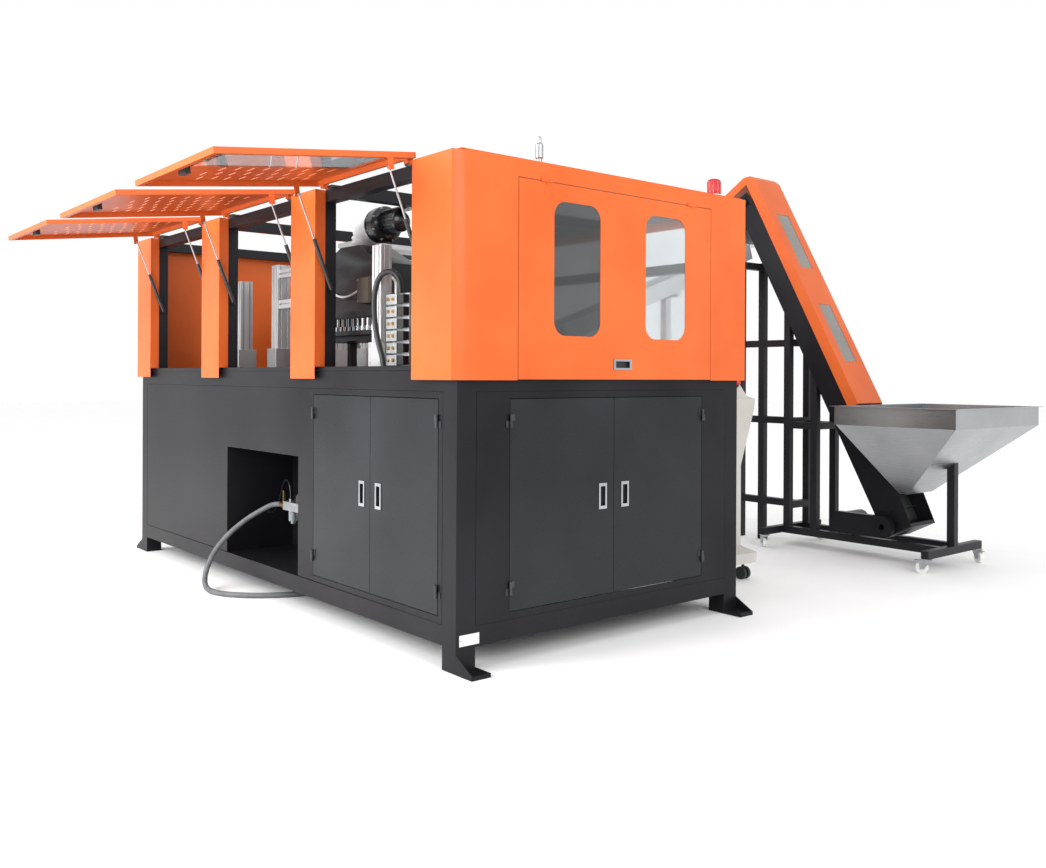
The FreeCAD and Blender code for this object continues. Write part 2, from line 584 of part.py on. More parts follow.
def gull_door(label, bay, has_window):
    """A folded pan with louvre slots, hinge straps, a latch and two strut brackets."""
    left, right = f"{bay[0]} + door_gap", f"{bay[1]} - door_gap"
    pan = cut(block((left, right), GULL_Y, GULL_Z),
              block(grown((left, right), "-gull_lip"), (f"{GULL_Y[0]} + cover_sheet", f"{GULL_Y[1]} + 1"),
                    grown(GULL_Z, "-gull_lip")))
    slots = []
    columns = 3 if has_window else 5
    for column in range(columns):
        for line in range(9):
            start = f"{left} + gull_lip + 30 + {column} * slot_column + {line % 2} * 16"
            height = f"-gull_near - 130 - {line} * slot_pitch - {column % 2} * slot_pitch / 2"
            slots.append(block((start, f"{start} + slot_length"), through(GULL_Y),
                               (height, f"{height} + slot_width")))
    if has_window:
        slots.append(block(window_span(left, right), through(GULL_Y), WINDOW_Z))
    parts = [cut(pan, *slots)]
    for edge, hand in ((left, 1), (right, -1)):
        parts.append(strut_bracket(edge, hand))
        parts.append(hinge_strap(edge, hand))
    above_bed = f"base_top - ({GULL_AXIS_Z}) + 6"
    latch = block((f"({left} + {right}) / 2 - 35", f"({left} + {right}) / 2 + 35"),
                  (f"{GULL_Y[0]} + 1", f"{GULL_Y[1]} + 14"), (above_bed, f"{above_bed} + 24"))
    parts.append(latch)
    node(label, in_hinge_frame(welded(*parts), "gull_angle"))


def side_span(edge, hand, near, far):
    low, high = (f"{edge} + {near}", f"{edge} + {far}"), (f"{edge} - ({far})", f"{edge} - ({near})")
    return low if hand > 0 else high


# The strut's upper ball stud sits beside this bracket: both points turn with the door.
STUD_Y = "strut_top_down * sin(gull_angle * 1 deg) - strut_top_out * cos(gull_angle * 1 deg)"
STUD_Z = "-strut_top_down * cos(gull_angle * 1 deg) - strut_top_out * sin(gull_angle * 1 deg)"


def strut_bracket(edge, hand):
    """An ear that stands off the door's inner lip and carries the strut's stud."""
    span = side_span(edge, hand, 1, 5)
    ear = block(span, (f"{GULL_Y[1]} - 2", f"{STUD_Y} + 10"), (f"{STUD_Z} - 14", f"{STUD_Z} + 14"))
    stud = rod("x", (STUD_Y, STUD_Z), side_span(edge, hand, 5, "strut_side - door_gap - 8.5"), "pin_radius")
    return welded(ear, stud)


def hinge_strap(edge, hand):
    """The moving half of a block hinge: a barrel on the hinge line and a lug on the door."""
    span = side_span(edge, hand, 40, "40 + gull_hinge_width / 2")
    return welded(rod("x", ("0", "0"), span, 9),
                  block(span, (f"{GULL_Y[1]} - 4", "4"), (f"{GULL_Z[1]} - 20", "0")))


def gull_hinge_blocks():
    """The fixed halves of the six block hinges, on the front beam."""
    blocks = []
    for left, right in BAYS:
        for edge, hand in ((left, 1), (right, -1)):
            span = side_span(f"({edge} + {hand} * door_gap)", hand, "40.3 + gull_hinge_width / 2",
                             "40 + gull_hinge_width")
            barrel = rod("x", (GULL_AXIS_Y, GULL_AXIS_Z), span, 9)
            foot = block(span, (GULL_AXIS_Y, f"{FRAME_Y[0]} + 30"), ("shell_top", "shell_top + 11"))
            blocks.append(welded(barrel, foot))
    return joined(*blocks)


for index, bay in enumerate(BAYS, start=1):
    gull_door(f"gull_door_{index}", bay, index == 3)
PANE_GRIP = 20
PANE_SEAT = f"{GULL_Y[0]} + cover_sheet + 0.1"
node("gull_window", in_hinge_frame(block(
    grown(window_span(f"{BAYS[2][0]} + door_gap", f"{BAYS[2][1]} - door_gap"), PANE_GRIP),
    (PANE_SEAT, f"{PANE_SEAT} + window_sheet"), grown(WINDOW_Z, PANE_GRIP)), "gull_angle"))
node("gull_hinge_blocks", gull_hinge_blocks())


# ---------------------------------------------------------------- gas struts
STRUT_RUN = "strut_top_out + strut_foot_in"
STRUT_RISE = "strut_foot_down - strut_top_down"
STRUT_LEAN = f"atan2({STRUT_RUN}; {STRUT_RISE})"
STRUT_REACH = f"sqrt(({STRUT_RUN}) ^ 2 + ({STRUT_RISE}) ^ 2)"


def strut_pair(index, bay):
    """Two gas struts: tubes that swing on the frame's pins and rods that slide in them."""
    tubes, rods = [], []
    for edge, hand in ((bay[0], 1), (bay[1], -1)):
        at_x = f"{edge} + {hand} * strut_side"
        span = (f"{at_x} - 7", f"{at_x} + 7")
        eye = rod("x", ("0", "0"), span, "strut_eye")
        barrel = cut(rod("z", (at_x, "0"), ("strut_eye - 2", "strut_tube_length"), "strut_tube"),
                     rod("z", (at_x, "0"), ("strut_eye + 20", "strut_tube_length + 1"), "strut_bore"))
        keep = rod("x", ("0", "0"), grown(span, 1), "pin_radius + 0.3")
        tubes.append(cut(welded(eye, barrel), keep))
        rod_top = STRUT_REACH
        slide = rod("z", (at_x, "0"), (f"{rod_top} - strut_rod_length - 8", f"{rod_top} - 6"), "strut_rod")
        ball = rod("x", ("0", rod_top), (f"{at_x} - 7", f"{at_x} + 7"), 8)
        rods.append(welded(slide, ball))
    for label, pair in (("strut_tubes", tubes), ("strut_rods", rods)):
        node(f"{label}_{index}", turned(joined(*pair), "x", STRUT_LEAN, "0", STRUT_FOOT_Y, STRUT_FOOT_Z))


for index, bay in enumerate(BAYS, start=1):
    strut_pair(index, bay)


# ---------------------------------------------------------------- lift door at the window end
def pane_spans(extra="0"):
    for number_of in range(2):
        start = f"pane_start + {number_of} * pane_pitch"
        yield grown((start, f"{start} + pane_width"), extra)


LIFT_X = (f"{COVER_LENGTH} - lift_depth", COVER_LENGTH)
LIFT_Y = ("lift_start", LIFT_END)
LIFT_Z = ("lift_bottom", "lift_top")
LIFT_MIDDLE = f"({LIFT_Y[0]} + {LIFT_Y[1]}) / 2"
LIFT_HANDLE_Y = (f"{LIFT_MIDDLE} - handle_height / 2", f"{LIFT_MIDDLE} + handle_height / 2")
LIFT_HANDLE_Z = ("lift_bottom + 44", "lift_bottom + 44 + handle_width")


def lift_door():
    """A folded pan with two round-cornered windows, a flush handle, hinge leaves and strut ears."""
    pan = cut(block(LIFT_X, LIFT_Y, LIFT_Z),
              block((f"{LIFT_X[0]} - 1", f"{LIFT_X[1]} - cover_sheet"), grown(LIFT_Y, "-cover_sheet"),
                    grown(LIFT_Z, "-cover_sheet")),
              block(through(LIFT_X), LIFT_HANDLE_Y, LIFT_HANDLE_Z),
              *[rounded_block(through(LIFT_X), span, ("pane_bottom", "pane_top"), "pane_corner")
                for span in pane_spans()])
    cup = (f"{COVER_LENGTH} - handle_depth", f"{COVER_LENGTH} + handle_proud")
    handle = cut(block(cup, LIFT_HANDLE_Y, LIFT_HANDLE_Z),
                 block((f"{cup[0]} + 2", f"{cup[1]} + 1"), grown(LIFT_HANDLE_Y, "-14"),
                       grown(LIFT_HANDLE_Z, "-10")))
    leaves = []
    for at_y in LIFT_HINGES:
        moving = (f"{at_y} + 30.3", f"{at_y} + 60")
        leaves.append(rod("y", (LIFT_AXIS_X, LIFT_AXIS_Z), moving, "lift_pin_radius"))
        leaves.append(block((COVER_LENGTH, f"{COVER_LENGTH} + 2"), moving,
                            (f"{LIFT_AXIS_Z} - 16", LIFT_AXIS_Z)))
    return joined(welded(pan, *leaves), handle)


node("lift_door", lift_door())
node("lift_windows", joined(*[
    block((f"{COVER_LENGTH} - cover_sheet - window_sheet", f"{COVER_LENGTH} - cover_sheet"), span,
          ("pane_bottom - 15", "pane_top + 15")) for span in pane_spans(15)]))

# ---------------------------------------------------------------- preform oven and its fans
def tapered(x, y, z, top_x, top_y):
    """A straight-sided block whose top rectangle differs from its bottom one."""
    wedge = doc.addObject("Part::Wedge", "tapered")
    wedge.Placement = FreeCAD.Placement(FreeCAD.Vector(), FreeCAD.Rotation(VECTOR["x"], 90))
    for name, (low, high) in (("X", x), ("X2", top_x), ("Y", z)):
        bind(wedge, f"{name}min", low)
        bind(wedge, f"{name}max", high)
    for name, (low, high) in (("Z", opposite(y)), ("Z2", opposite(top_y))):
        bind(wedge, f"{name}min", low)
        bind(wedge, f"{name}max", high)
    return wedge


OVEN_X = ("oven_start", "oven_start + oven_length")
OVEN_Y = ("oven_front", "oven_front + oven_depth")
DUCT_X = "oven_start + oven_length / 2"
HOOD_TOP = "oven_top + hood_height"


def heating_tunnel():
    """Oven casing on its legs, its sheet hood, and the cable box on its front."""
    casing = block(OVEN_X, OVEN_Y, ("oven_bottom", "oven_top"))
    legs = [block(grown((at_x, at_x), 20), grown((at_y, at_y), 20), ("base_top", "oven_bottom"))
            for at_x in (f"{OVEN_X[0]} + 30", f"{OVEN_X[1]} - 30")
            for at_y in (f"{OVEN_Y[0]} + 30", f"{OVEN_Y[1]} - 30")]
    top = grown((DUCT_X, DUCT_X), "hood_collar"), grown((OVEN_MIDDLE_Y, OVEN_MIDDLE_Y), "hood_collar")
    hood = cut(tapered(OVEN_X, OVEN_Y, ("oven_top", HOOD_TOP), *top),
               tapered(grown(OVEN_X, -4), grown(OVEN_Y, -4), ("oven_top - 1", f"{HOOD_TOP} - 2"),
                       grown(top[0], -4), grown(top[1], -4)),
               rod("z", (DUCT_X, OVEN_MIDDLE_Y), (f"{HOOD_TOP} - 30", f"{HOOD_TOP} + 1"), "duct_radius - 6"))
    cable_box = block(("cable_box_start", "cable_box_start + cable_box_width"),
                      ("oven_front - 45", "oven_front"), ("chain_high + 45", "chain_high + 177"))
    return joined(welded(casing, *legs), hood, cable_box)


node("heating_tunnel", heating_tunnel())
DUCT_RISE = 10
BEND_RADIUS = "(duct_radius + 15)"
DUCT_END = f"{DUCT_X} + {BEND_RADIUS} + 40"
DUCT_AXIS = (OVEN_MIDDLE_Y, f"{HOOD_TOP} + {DUCT_RISE} + {BEND_RADIUS}")


def flexible_duct():
    """White hose that rises from the hood and bends over to the blower's inlet."""
    bend = doc.addObject("Part::Torus", "bend")
    bend.Placement = FreeCAD.Placement(FreeCAD.Vector(), FreeCAD.Rotation(VECTOR["x"], 90))
    bend.Angle1, bend.Angle2, bend.Angle3 = -180, 180, 90
    bind(bend, "Radius1", BEND_RADIUS)
    bind(bend, "Radius2", "duct_radius")
    arch = turned(bend, "z", "180", f"{DUCT_X} + {BEND_RADIUS}", OVEN_MIDDLE_Y, f"{HOOD_TOP} + {DUCT_RISE}")
    riser = rod("z", (DUCT_X, OVEN_MIDDLE_Y), (HOOD_TOP, f"{HOOD_TOP} + {DUCT_RISE}"), "duct_radius")
    run = rod("x", DUCT_AXIS, (f"{DUCT_X} + {BEND_RADIUS}", DUCT_END), "duct_radius")
    return welded(riser, arch, run, merge_faces=False)


node("flexible_duct", flexible_duct())


def blower():
    """Fan scroll with its motor, hung from the cross beam on a bracket."""
    start, centre = DUCT_END, DUCT_AXIS
    ring = rod("x", centre, (start, f"{start} + 18"), "duct_radius + 12")
    scroll = rod("x", centre, (f"{start} + 18", f"{start} + 92"), "duct_radius + 16")
    motor = rod("x", centre, (f"{start} + 92", f"{start} + 232"), f"shell_top - frame_tube - 10 - ({centre[1]})")
    foot = block((f"{start} + 108", BLOWER_BEAM_X[1]), (f"{OVEN_MIDDLE_Y} - 45", f"{OVEN_MIDDLE_Y} + 45"),
                 ("shell_top - frame_tube - 8", "shell_top - frame_tube"))
    arm = block((f"{start} + 108", f"{start} + 208"), (f"{OVEN_MIDDLE_Y} - 30", f"{OVEN_MIDDLE_Y} + 30"),
                (centre[1], "shell_top - frame_tube - 8"))
    return joined(welded(ring, scroll, motor, arm), foot)


node("blower", blower())


def preform_chain():
    """Two guide rails with a row of preform holders between them, on three brackets."""
    rail_x = ("chain_start", "chain_start + chain_length")
    rails = [block(rail_x, ("chain_y - 42", "chain_y - 30"), (low, high))
             for low, high in (("chain_low", "chain_low + 22"), ("chain_high - 22", "chain_high"))]
    deck = block(rail_x, ("chain_y - 30", "chain_y + 42"), ("chain_low", "chain_low + 10"))
    holders = []
    for place in range(24):
        at = (f"{rail_x[0]} + 90 + {place} * holder_pitch", "chain_y")
        holders.append(welded(rod("z", at, ("chain_low + 10", "chain_low + 46"), 19),
                              rod("z", at, ("chain_low + 46", "chain_high - 34"), 11)))
    feet = (f"{rail_x[0]} + 50", f"{rail_x[0]} + chain_length / 2", f"{rail_x[1]} - 50")
    brackets = [block(grown((at_x, at_x), 20), ("chain_y + 2", "chain_y + 42"), ("base_top", "chain_low"))
                for at_x in feet]
    arms = [block(grown((at_x, at_x), 8), ("chain_y - 42", "chain_y - 30"),
                  ("chain_low + 22", "chain_high - 22"))
            for at_x in (f"{rail_x[0]} + 10", f"{rail_x[1]} - 10")]
    return joined(welded(*rails, deck, *brackets, *arms), *holders)


node("preform_chain", preform_chain())


# ---------------------------------------------------------------- clamp and stretching unit
PORTAL_X = ("portal_x", "portal_x + portal_span")
PORTAL_Y = ("portal_front", "portal_front + portal_depth")
BLOCK_TOP = "base_top + base_block"


def clamp_frame():
    """Extruded-profile portal on machined blocks, the fixed platen, tie bars and valve stack."""
    pieces = []
    for at_x in (PORTAL_X[0], f"{PORTAL_X[1]} - profile_size"):
        for at_y in (PORTAL_Y[0], f"{PORTAL_Y[1]} - profile_size"):
            x, y = (at_x, f"{at_x} + profile_size"), (at_y, f"{at_y} + profile_size")
            pieces.append(block(grown(x, 18), grown(y, 18), ("base_top", BLOCK_TOP)))
            pieces.append(block(x, y, (BLOCK_TOP, "portal_top")))
    for low in ("portal_top - 80", "portal_top - 260"):
        pieces.append(block((f"{PORTAL_X[0]} + profile_size", f"{PORTAL_X[1]} - profile_size"),
                            (f"{PORTAL_Y[0]} + 10", f"{PORTAL_Y[0]} + 50"), (low, f"{low} + 50")))
    for at_x in (PORTAL_X[0], f"{PORTAL_X[1]} - profile_size"):
        pieces.append(block((f"{at_x} + 15", f"{at_x} + 65"),
                            (f"{PORTAL_Y[0]} + profile_size", f"{PORTAL_Y[1]} - profile_size"),
                            ("portal_top - 80", "portal_top - 20")))
    side_x = ("-820", "-740")
    pieces.append(block(grown(side_x, 18), ("-698", "-582"), ("base_top", BLOCK_TOP)))
    pieces.append(block(side_x, ("-680", "-600"), (BLOCK_TOP, "1800")))
    end_x = ("1040", "1120")
    pieces.append(block(grown(end_x, 18), ("-818", "-742"), ("base_top", BLOCK_TOP)))
    pieces.append(block(end_x, ("-810", "-750"), (BLOCK_TOP, "1835")))
    pieces.append(block(("1142", "1282"), ("-800", "-740"), ("base_top", "1600")))
    platen_y = ("platen_y - platen_width / 2", "platen_y + platen_width / 2")
    platen_z = ("base_top + 60", "base_top + 60 + platen_height")
    pieces.append(block(("mould_face + mould_depth", "mould_face + mould_depth + 70"), platen_y,
                        ("base_top", platen_z[1])))
    pieces.append(block(("-1420", "-1350"), platen_y, ("base_top", platen_z[1])))
    for at_y in TIE_Y:
        for at_z in TIE_Z:
            pieces.append(rod("x", (at_y, at_z), ("-1350", "mould_face + mould_depth"), "tie_bar"))
    return joined(*pieces)


TIE_Y = ("platen_y - platen_width / 2 + 50", "platen_y + platen_width / 2 - 50")
TIE_Z = ("base_top + 110", "base_top + platen_height + 10")
node("clamp_frame", clamp_frame())


CAVITIES = [f"platen_y - 120 + {place} * 80" for place in range(4)]


def mould_half(x, face):
    """One half of the four-cavity mould: each cavity is half a bottle with its neck at the top."""
    z = ("base_top + 132", "base_top + platen_height - 12")
    cavities = [welded(rod("z", (face, at_y), (f"{z[0]} + 20", f"{z[1]} - 40"), 28),
                       rod("z", (face, at_y), (f"{z[1]} - 41", f"{z[1]} + 1"), 13)) for at_y in CAVITIES]
    return cut(block(x, ("platen_y - 170", "platen_y + 170"), z), *cavities)


def moving_platen():
    """Platen that slides on the four tie bars and carries one mould half."""
    face = "mould_face - clamp_travel - 1"
    plate_y = ("platen_y - platen_width / 2", "platen_y + platen_width / 2")
    plate_x = (f"{face} - mould_depth - 70", f"{face} - mould_depth")
    plate = block(plate_x, plate_y, ("base_top + 60", "base_top + 60 + platen_height"))
    bores = [rod("x", (at_y, at_z), grown(plate_x, 1), "tie_bar + 0.3") for at_y in TIE_Y for at_z in TIE_Z]
    return joined(cut(plate, *bores), mould_half((f"{face} - mould_depth", face), face))


node("moving_platen", moving_platen())
GUIDE_Y = ("platen_y - 300", "platen_y + 300")


def stretch_frame():
    """Head plate on two guide posts above the mould, with the fixed mould half."""
    posts = [rod("z", ("mould_face", at_y), ("base_top", "2020"), 20) for at_y in GUIDE_Y]
    head = block(("mould_face - 100", "mould_face + 100"), ("platen_y - 340", "platen_y + 340"),
                 ("2020", "2050"))
    return joined(head, mould_half(("mould_face", "mould_face + mould_depth"), "mould_face"), *posts)


node("stretch_frame", stretch_frame())
node("stretch_carriage", cut(
    welded(block(("mould_face - 70", "mould_face + 70"), ("platen_y - 335", "platen_y + 335"),
                 ("1930", "1965")),
           *[rod("z", ("mould_face", at_y), ("1720", "1931"), 7) for at_y in CAVITIES]),
    *[rod("z", ("mould_face", at_y), ("1929", "1966"), 20.3) for at_y in GUIDE_Y]))


# ---------------------------------------------------------------- elevator
CASING_Y = ("elevator_y - casing_width / 2", "elevator_y + casing_width / 2")
INSIDE_Y = grown(CASING_Y, "-casing_sheet")


def on_slope(piece):
    """Place a piece modelled with Z up the slope and X out of the conveyor's face."""
    return turned(piece, "y", "slope_angle - 90", "casing_foot_x", "0", "casing_foot_z")


def bearing(side, at_x, at_z):
    span = (f"{CASING_Y[0]} - 14", CASING_Y[0]) if side < 0 else (CASING_Y[1], f"{CASING_Y[1]} + 14")
    return cut(rod("y", (at_x, at_z), span, 30), rod("y", (at_x, at_z), grown(span, 1), "shaft_radius + 0.3"))


def conveyor_casing():
    """Folded channel, deeper where the hopper feeds it, with four shaft bearings."""
    profile = [("0", "0"), ("206", "0"), ("cover_depth - 5", "230"), ("cover_depth - 5", "cover_start"),
               ("casing_depth", "cover_start"), ("casing_depth", "casing_length"),
               ("casing_depth - 22", "casing_length + 140"), ("20", "casing_length + 140"),
               ("0", "casing_length")]
    trough = block(("casing_sheet", "cover_depth"), INSIDE_Y, ("casing_sheet", "casing_length + 141"))
    ends = ("drum_depth", "tail_drum_at"), ("drum_depth", "head_drum_at")
    holes = [rod("y", at, through(CASING_Y), "shaft_radius + 0.3") for at in ends]
    channel = cut(outline("xz", profile, *CASING_Y), trough, *holes)
    lip = block(("206 - casing_sheet", "206"), INSIDE_Y, ("0", "24"))
    return joined(welded(channel, lip), *[bearing(side, *at) for at in ends for side in (-1, 1)])


node("conveyor_casing", on_slope(conveyor_casing()))
VIEW_STARTS = ("1205", "1976")
VIEW_Y = ("elevator_y - view_width / 2", "elevator_y + view_width / 2")


COVER_OUTSIDE = [
    ("casing_depth", "cover_start"), ("cover_depth", "cover_start"), ("cover_depth", "2737"), ("205", "2790"),
    ("150", "2812"), ("-60", "2795"), ("-54", "2735"), ("casing_depth", "2752"),
]
COVER_INSIDE = [
    ("casing_depth - 1", "cover_start - 1"), ("cover_depth - cover_sheet", "cover_start - 1"),
    ("cover_depth - cover_sheet", "2736"), ("203", "2788"), ("150", "2809"), ("-61", "2792"), ("-61", "2730"),
    ("casing_depth - 1", "2748"),
]


def conveyor_cover():
    """Orange cover, a shallow channel whose top end curls back over the head drum, with two clear panes."""
    sheet_in = "cover_sheet"
    shell = cut(outline("xz", COVER_OUTSIDE, *grown(CASING_Y, 1)),
                outline("xz", COVER_INSIDE, *grown(CASING_Y, -1)))
    views = [block(("cover_depth - 20", "cover_depth + 20"), VIEW_Y, (start, f"{start} + view_length"))
             for start in VIEW_STARTS]
    panes = [block((f"cover_depth - {sheet_in} - 3", f"cover_depth - {sheet_in}"), grown(VIEW_Y, 15),
                   grown((start, f"{start} + view_length"), 15)) for start in VIEW_STARTS]
    return joined(cut(shell, *views), *panes)


node("conveyor_cover", on_slope(conveyor_cover()))
BELT_Y = grown(CASING_Y, -13)


def belt_loop(radius, y):
    ends = [rod("y", ("drum_depth", at), y, radius) for at in ("tail_drum_at", "head_drum_at")]
    return welded(*ends, block((f"drum_depth - ({radius})", f"drum_depth + {radius}"), y,
                               ("tail_drum_at", "head_drum_at")))


def conveyor_belt():
    """Cleated belt round the two drums."""
    outer, inner = "drum_radius + 0.3 + belt_sheet", "drum_radius + 0.3"
    cleats = []
    for place in range(15):
        for low, high in ((f"drum_depth + {outer} - 1", f"drum_depth + {outer} + cleat_height"),
                          (f"drum_depth - ({outer}) - cleat_height", f"drum_depth - ({outer}) + 1")):
            start = f"tail_drum_at + 60 + {place} * cleat_pitch"
            cleats.append(block((low, high), grown(BELT_Y, -6), (start, f"{start} + 5")))
    loop = cut(belt_loop(outer, BELT_Y), belt_loop(inner, grown(BELT_Y, 1)))
    return welded(loop, *cleats, merge_faces=False)


node("conveyor_belt", on_slope(conveyor_belt()))
for label, at in (("tail_drum", "tail_drum_at"), ("head_drum", "head_drum_at")):
    node(label, on_slope(welded(rod("y", ("drum_depth", at), grown(BELT_Y, -1), "drum_radius"),
                                rod("y", ("drum_depth", at), grown(CASING_Y, 20), "shaft_radius"))))


def drive_unit():
    """Geared motor under the tail with its round-ended chain guard."""
    guard_y = (f"{CASING_Y[0]} - 70", f"{CASING_Y[0]} - 25")
    left, right, radius = ("1287", "236.5"), ("1609", "236.5"), 71.5
    guard = welded(rod("y", left, guard_y, radius), rod("y", right, guard_y, radius),
                   block((left[0], right[0]), guard_y, (f"236.5 - {radius}", f"236.5 + {radius}")))
    motor = rod("y", left, (f"{CASING_Y[0]} - 25", f"{CASING_Y[0]} + 215"), 62)
    seat = block(("1237", "1337"), ("elevator_y - 142", "elevator_y - 42"), ("143", "180"))
    return joined(cut(guard, rod("y", right, grown(guard_y, 1), 20)), welded(motor, seat))


node("drive_unit", drive_unit())
HOPPER_Y = ("hopper_near", "hopper_near + hopper_length")


def hopper():
    """Stainless bin: a shallow rim over a four-sided funnel that opens onto the belt."""
    def funnel(inset, z_low, z_high):
        left = f"hopper_left + (hopper_rim - hopper_skirt) / tan(slope_angle * 1 deg) + {inset}"
        return tapered((f"outlet_x + {inset}", f"outlet_x + 60 - {inset}"), grown(CASING_Y, f"-{inset}"),
                       (z_low, z_high), (left, f"hopper_right - {inset}"), grown(HOPPER_Y, f"-{inset}"))
    rim = block(("hopper_left + 54", "hopper_right"), HOPPER_Y, ("hopper_skirt", "hopper_rim"))
    rim_hollow = block(("hopper_left + 54 + hopper_sheet", "hopper_right - hopper_sheet"),
                       grown(HOPPER_Y, "-hopper_sheet"), ("hopper_skirt - 1", "hopper_rim + 1"))
    outer = funnel("0", "hopper_outlet", "hopper_skirt")
    hollow = funnel("hopper_sheet", "hopper_outlet - 0.1", "hopper_skirt + 0.1")
    flange = cut(block(("hopper_left + 30", "hopper_right + 24"), grown(HOPPER_Y, 24),
                       ("hopper_rim - 3", "hopper_rim")),
                 block(("hopper_left + 54 + hopper_sheet", "hopper_right - hopper_sheet"),
                       grown(HOPPER_Y, "-hopper_sheet"), ("hopper_rim - 4", "hopper_rim + 1")))
    mouth = block(("outlet_x - 240", "outlet_x + 10"), grown(CASING_Y, -12),
                  ("hopper_outlet - 1", "hopper_skirt - 190"))
    return cut(welded(cut(rim, rim_hollow), cut(outer, hollow), flange, merge_faces=False), mouth)


node("hopper", hopper())
RAIL_LOW, RAIL_HIGH = "caster_height", "caster_height + tube"
RAIL_Y = ("elevator_y - 142", "elevator_y + 92")


def casing_back(at_x):
    """Height of the conveyor's back face above a place along X."""
    return f"casing_foot_z + (casing_foot_x - ({at_x})) * tan(slope_angle * 1 deg)"


def funnel_under(at_x):
    """Height of the hopper funnel's right face above a place along X."""
    slope = "(hopper_skirt - hopper_outlet) / (hopper_right - outlet_x - 60)"
    return f"hopper_outlet + (({at_x}) - outlet_x - 60) * {slope}"


def sorter_under(at_y, below="0"):
    """Underside of the sorter's rails above a place along Y, or a given distance below it."""
    rise = f"(({at_y}) - sorter_foot_y) * tan(sorter_angle * 1 deg)"
    return f"sorter_foot_z + {rise} - (60 + {below}) / cos(sorter_angle * 1 deg)"


SORTER_BAR = f"{sorter_under('2700')} - tube"


def elevator_frame():
    """Square-tube stand: floor rails, posts cut to the casing's slope, bars and the sorter's posts."""
    pieces = [block(("780", "1950"), (at_y, f"{at_y} + tube"), (RAIL_LOW, RAIL_HIGH)) for at_y in RAIL_Y]
    pieces.append(block(("1950", "1950 + tube"), ("2594", "3290"), (RAIL_LOW, RAIL_HIGH)))
    pieces.append(block(("730", "780"), ("2594", "3290"), (RAIL_LOW, RAIL_HIGH)))
    for at_x in ("785", "1010"):
        for at_y in RAIL_Y:
            pieces.append(outline("xz", [(at_x, RAIL_HIGH), (f"{at_x} + tube", RAIL_HIGH),
                                         (f"{at_x} + tube", casing_back(f"{at_x} + tube")),
                                         (at_x, casing_back(at_x))], at_y, f"{at_y} + tube"))
    between = (f"{RAIL_Y[0]} + tube", RAIL_Y[1])
    for at_x, low in (("785", "850"), ("785", "1445"), ("1010", "850")):
        pieces.append(block((at_x, f"{at_x} + tube"), between, (low, f"{low} + tube")))
    for at_y in RAIL_Y:
        pieces.append(block(("835", "1010"), (at_y, f"{at_y} + tube"), ("850", "850 + tube")))
    pieces.append(outline("xz", [("1950", RAIL_HIGH), ("1950 + tube", RAIL_HIGH),
                                 ("1950 + tube", funnel_under("1950 + tube")),
                                 ("1950", funnel_under("1950"))],
                          "elevator_y - tube / 2", "elevator_y + tube / 2"))
    for at_x, top in (("280", "tray_floor"), ("480", "2077")):
        pieces.append(block((at_x, f"{at_x} + tube"), ("2905", "2905 + tube"), ("0", top)))
        pieces.append(block((at_x, f"{at_x} + tube"), ("2750", "2905"),
                            (SORTER_BAR, f"{SORTER_BAR} + tube")))
    pieces.append(block(("280", "480 + tube"), ("2700", "2750"), (SORTER_BAR, f"{SORTER_BAR} + tube")))
    for low in ("270", "876", "1445"):
        pieces.append(block(("330", "480"), ("2905", "2905 + tube"), (low, f"{low} + tube")))
        pieces.append(block(("530", "785"), ("2905", "2905 + tube"), (low, f"{low} + tube")))
    pieces.append(block(("785", "785 + tube"), between, ("270", "270 + tube")))
    pieces.append(block(("785", "785 + tube"), between, ("876", "876 + tube")))
    return welded(*pieces, merge_faces=False)


node("elevator_frame", elevator_frame())
CASTERS = [("1975", "2622", 20), ("1975", "3262", 150), ("755", "2622", -35), ("755", "3262", 200)]


def caster(index, at_x, at_y, heading):
    """Swivelling fork on the frame's beam, and the wheel on its axle."""
    cheek = "wheel_width / 2 + 2"
    plate = block(("-28", "28"), ("-28", "28"), ("caster_height - 8", "caster_height - 0.3"))
    crown = block(("-caster_trail - 16", "22"), (f"-({cheek}) - 3", f"{cheek} + 3"),
                  ("2 * wheel_radius + 4", "caster_height - 8"))
    side = [("-caster_trail - 12", "wheel_radius - 10"), ("-caster_trail + 12", "wheel_radius - 10"),
            ("22", "2 * wheel_radius + 5"), ("-caster_trail - 16", "2 * wheel_radius + 5")]
    cheeks = [outline("xz", side, low, f"{low} + 3") for low in (cheek, f"-({cheek}) - 3")]
    axle = rod("y", ("-caster_trail", "wheel_radius"), (f"-({cheek}) - 6", f"{cheek} + 6"), 5)
    pedal = block(("-caster_trail - 44", "-caster_trail - 14"), ("-14", "14"),
                  ("2 * wheel_radius + 4", "2 * wheel_radius + 8"))
    fork = welded(plate, crown, *cheeks, axle, pedal)
    centre = ("-caster_trail", "wheel_radius")
    wheel = cut(rod("y", centre, ("-wheel_width / 2", "wheel_width / 2"), "wheel_radius"),
                rod("y", centre, ("-wheel_width", "wheel_width"), 5.05))
    node(f"caster_fork_{index}", turned(fork, "z", heading, at_x, at_y, "0"))
    node(f"caster_wheel_{index}", turned(wheel, "z", heading, at_x, at_y, "0"))


for index, place in enumerate(CASTERS, start=1):
    caster(index, *place)


# ---------------------------------------------------------------- sorter
def on_sorter(piece):
    """Place a piece modelled with Y up the sorter's slope from its low end."""
    return turned(piece, "x", "sorter_angle", "sorter_x", "sorter_foot_y", "sorter_foot_z")


